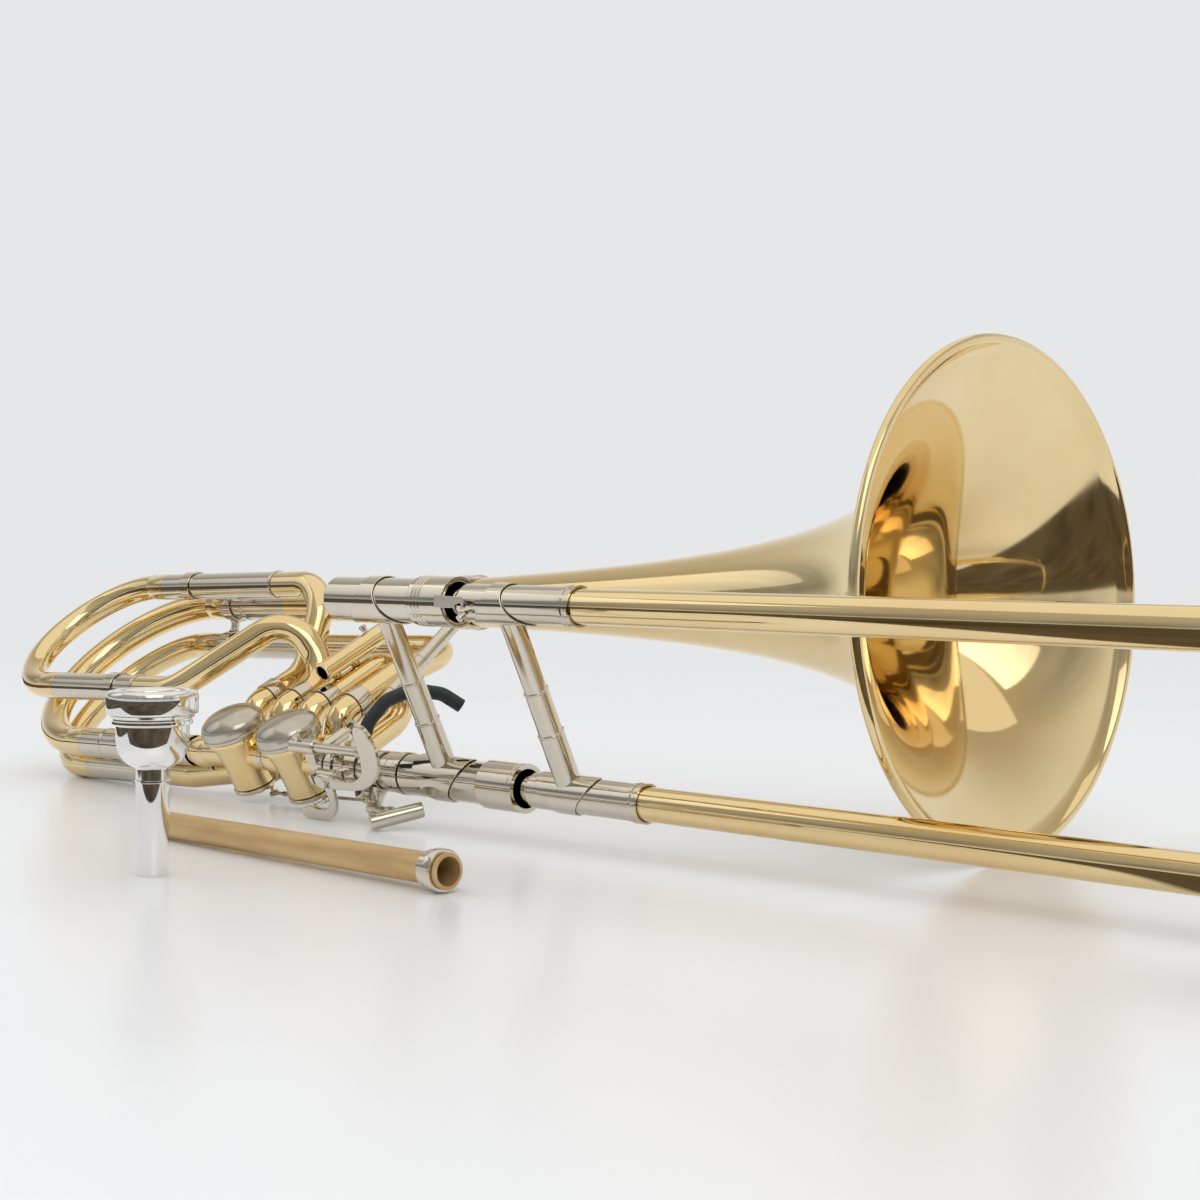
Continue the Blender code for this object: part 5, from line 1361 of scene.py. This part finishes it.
def make_world(settings):
    world = bpy.data.worlds.new("Studio")
    bpy.context.scene.world = world
    world.use_nodes = True
    tree = world.node_tree
    tree.nodes.clear()
    room = add_node(tree, "ShaderNodeBackground", {
        "Color": linear("DADBDD"), "Strength": settings.room_light,
    })
    way = add_node(tree, "ShaderNodeTexCoord")
    height = add_node(tree, "ShaderNodeSeparateXYZ", links={0: way.outputs["Generated"]})
    share = add_node(tree, "ShaderNodeMapRange", {
        "interpolation_type": "SMOOTHSTEP", "From Min": 0.25, "From Max": 0.80,
    }, {"Value": height.outputs["Z"]})
    tone = add_node(tree, "ShaderNodeMix", {"data_type": "RGBA"}, {"Factor": share.outputs[0]})
    tone.inputs[6].default_value = linear("E6E7E8")
    tone.inputs[7].default_value = linear("B9B2A4")
    seen = add_node(tree, "ShaderNodeBackground", {"Strength": 1.0}, {"Color": tone.outputs[2]})
    mix = add_node(tree, "ShaderNodeMixShader", links={
        0: seen_directly(tree), 1: room.outputs[0], 2: seen.outputs[0],
    })
    add_node(tree, "ShaderNodeOutputWorld", links={"Surface": mix.outputs[0]})


# Panel and operators

class TromboneSettings(bpy.types.PropertyGroup):
    bell_wall: FloatProperty(
        name="Bell wall", description="Thickness of the bell's sheet", default=0.0007,
        min=0.0003, max=0.0015, unit="LENGTH",
    )
    grip_radius: FloatProperty(
        name="Grip radius", description="Radius of the thumb lever's rubber tube",
        default=0.0037, min=0.0030, max=0.0045, unit="LENGTH",
    )
    link_radius: FloatProperty(
        name="Link radius", description="Radius of the rods between levers and rotors",
        default=0.0010, min=0.0007, max=0.0012, unit="LENGTH",
    )
    bar_radius: FloatProperty(
        name="Bar radius", description="Radius of the hand rest's cross bar",
        default=0.0041, min=0.0035, max=0.0050, unit="LENGTH",
    )
    brass: FloatVectorProperty(
        name="Brass", description="Lighter tone of the lacquered brass", subtype="COLOR",
        size=4, default=linear("F1DCAA"), min=0.0, max=1.0,
    )
    nickel: FloatVectorProperty(
        name="Nickel", description="Lighter tone of the nickel plate", subtype="COLOR",
        size=4, default=linear("DCD5C7"), min=0.0, max=1.0,
    )
    silver: FloatVectorProperty(
        name="Silver", description="Lighter tone of the mouthpiece's plate", subtype="COLOR",
        size=4, default=linear("F2F1EE"), min=0.0, max=1.0,
    )
    rubber: FloatVectorProperty(
        name="Rubber", description="Lighter tone of the black rubber", subtype="COLOR",
        size=4, default=linear("2B3136"), min=0.0, max=1.0,
    )


class StageSettings(bpy.types.PropertyGroup):
    lens: FloatProperty(name="Lens", description="Focal length in mm", default=58.5, min=20.0)
    room_light: FloatProperty(name="Room light", description="Strength of the world", default=0.95)
    window_power: FloatProperty(name="Window", description="Large lamp by the bell", default=12.0)
    sky_power: FloatProperty(name="Overhead", description="Large lamp overhead", default=22.0)
    left_power: FloatProperty(name="Left", description="Lamp by the bows", default=4.0)


class TROMBONE_OT_bell(bpy.types.Operator):
    """Spin the bell with its rolled rim"""
    bl_idname = "trombone.bell"
    bl_label = "Bell"

    def execute(self, context):
        make_bell(context.scene.trombone)
        return {"FINISHED"}


class TROMBONE_OT_sleeves(bpy.types.Operator):
    """Turn the six beaded sleeves"""
    bl_idname = "trombone.sleeves"
    bl_label = "Tuning sleeves"

    def execute(self, context):
        make_sleeves()
        return {"FINISHED"}


class TROMBONE_OT_tuning_slides(bpy.types.Operator):
    """Bend the three bows with legs"""
    bl_idname = "trombone.tuning_slides"
    bl_label = "Tuning slides"

    def execute(self, context):
        make_tuning_slides()
        return {"FINISHED"}


class TROMBONE_OT_loop_tubes(bpy.types.Operator):
    """Bend the four loop tubes"""
    bl_idname = "trombone.loop_tubes"
    bl_label = "Loop tubes"

    def execute(self, context):
        make_loop_tubes()
        return {"FINISHED"}


class TROMBONE_OT_valves(bpy.types.Operator):
    """Make casings, caps and plates"""
    bl_idname = "trombone.valves"
    bl_label = "Valves"

    def execute(self, context):
        make_valves()
        return {"FINISHED"}


class TROMBONE_OT_rotors(bpy.types.Operator):
    """Make both rotors and stop arms"""
    bl_idname = "trombone.rotors"
    bl_label = "Rotors"

    def execute(self, context):
        make_rotors()
        return {"FINISHED"}


class TROMBONE_OT_main_line(bpy.types.Operator):
    """Turn the receiver and the lock nut"""
    bl_idname = "trombone.main_line"
    bl_label = "Main line"

    def execute(self, context):
        make_main_line()
        return {"FINISHED"}


class TROMBONE_OT_inner_slide(bpy.types.Operator):
    """Make inner tubes, barrels and brace"""
    bl_idname = "trombone.inner_slide"
    bl_label = "Inner slide"

    def execute(self, context):
        make_inner_slide()
        return {"FINISHED"}


class TROMBONE_OT_lock(bpy.types.Operator):
    """Make the lock ring and its stud"""
    bl_idname = "trombone.lock"
    bl_label = "Slide lock"

    def execute(self, context):
        make_lock()
        return {"FINISHED"}


class TROMBONE_OT_outer_slide(bpy.types.Operator):
    """Make tubes, sleeves, brace and crook"""
    bl_idname = "trombone.outer_slide"
    bl_label = "Outer slide"

    def execute(self, context):
        make_outer_slide()
        return {"FINISHED"}


class TROMBONE_OT_water_key(bpy.types.Operator):
    """Make the sprung drain lever"""
    bl_idname = "trombone.water_key"
    bl_label = "Water key"

    def execute(self, context):
        make_water_key()
        return {"FINISHED"}


class TROMBONE_OT_braces(bpy.types.Operator):
    """Make the bell and wrap braces"""
    bl_idname = "trombone.braces"
    bl_label = "Braces"

    def execute(self, context):
        make_braces()
        return {"FINISHED"}


class TROMBONE_OT_socket(bpy.types.Operator):
    """Make the socket and its screw"""
    bl_idname = "trombone.socket"
    bl_label = "Hand rest socket"

    def execute(self, context):
        make_hand_rest_socket()
        return {"FINISHED"}


class TROMBONE_OT_thumb(bpy.types.Operator):
    """Make the thumb lever and grip"""
    bl_idname = "trombone.thumb"
    bl_label = "Thumb lever"

    def execute(self, context):
        make_thumb_lever(context.scene.trombone)
        return {"FINISHED"}


class TROMBONE_OT_paddle(bpy.types.Operator):
    """Make the paddle lever"""
    bl_idname = "trombone.paddle"
    bl_label = "Paddle lever"

    def execute(self, context):
        make_paddle_lever()
        return {"FINISHED"}


class TROMBONE_OT_links(bpy.types.Operator):
    """Make both link rods"""
    bl_idname = "trombone.links"
    bl_label = "Link rods"

    def execute(self, context):
        make_links(context.scene.trombone)
        return {"FINISHED"}


class TROMBONE_OT_t_bar(bpy.types.Operator):
    """Make the T bar, socket and screw"""
    bl_idname = "trombone.t_bar"
    bl_label = "Hand bar"

    def execute(self, context):
        make_t_bar(context.scene.trombone)
        return {"FINISHED"}


class TROMBONE_OT_mouthpiece(bpy.types.Operator):
    """Turn the mouthpiece"""
    bl_idname = "trombone.mouthpiece"
    bl_label = "Mouthpiece"

    def execute(self, context):
        make_mouthpiece()
        return {"FINISHED"}


class TROMBONE_OT_leadpipe(bpy.types.Operator):
    """Turn the leadpipe and collar"""
    bl_idname = "trombone.leadpipe"
    bl_label = "Leadpipe"

    def execute(self, context):
        make_leadpipe()
        return {"FINISHED"}


class TROMBONE_OT_stage(bpy.types.Operator):
    """Set the camera, floor and lamps"""
    bl_idname = "trombone.stage"
    bl_label = "Stage"

    def execute(self, context):
        make_stage(context.scene.trombone_stage)
        return {"FINISHED"}


class TROMBONE_PT_parts(bpy.types.Panel):
    """Lists the operators that make the trombone"""
    bl_idname = "TROMBONE_PT_parts"
    bl_label = "Bass trombone"
    bl_space_type = "VIEW_3D"
    bl_region_type = "UI"
    bl_category = "Trombone"

    def draw(self, context):
        layout = self.layout
        for group in (context.scene.trombone, context.scene.trombone_stage):
            for name in group.__annotations__:
                layout.prop(group, name)
        for operator in OPERATORS:
            layout.operator(operator.bl_idname)


OPERATORS = (
    TROMBONE_OT_bell,
    TROMBONE_OT_sleeves,
    TROMBONE_OT_tuning_slides,
    TROMBONE_OT_loop_tubes,
    TROMBONE_OT_valves,
    TROMBONE_OT_rotors,
    TROMBONE_OT_main_line,
    TROMBONE_OT_inner_slide,
    TROMBONE_OT_lock,
    TROMBONE_OT_outer_slide,
    TROMBONE_OT_water_key,
    TROMBONE_OT_braces,
    TROMBONE_OT_socket,
    TROMBONE_OT_thumb,
    TROMBONE_OT_paddle,
    TROMBONE_OT_links,
    TROMBONE_OT_t_bar,
    TROMBONE_OT_mouthpiece,
    TROMBONE_OT_leadpipe,
    TROMBONE_OT_stage,
)
CLASSES = (TromboneSettings, StageSettings, *OPERATORS, TROMBONE_PT_parts)


def register():
    for used in CLASSES:
        bpy.utils.register_class(used)
    bpy.types.Scene.trombone = PointerProperty(type=TromboneSettings)
    bpy.types.Scene.trombone_stage = PointerProperty(type=StageSettings)


def unregister():
    del bpy.types.Scene.trombone_stage
    del bpy.types.Scene.trombone
    for used in reversed(CLASSES):
        bpy.utils.unregister_class(used)


def main():
    register()
    for operator in OPERATORS:
        step = operator.bl_idname.split(".")[1]
        getattr(bpy.ops.trombone, step)()


if __name__ == "__main__":
    main()
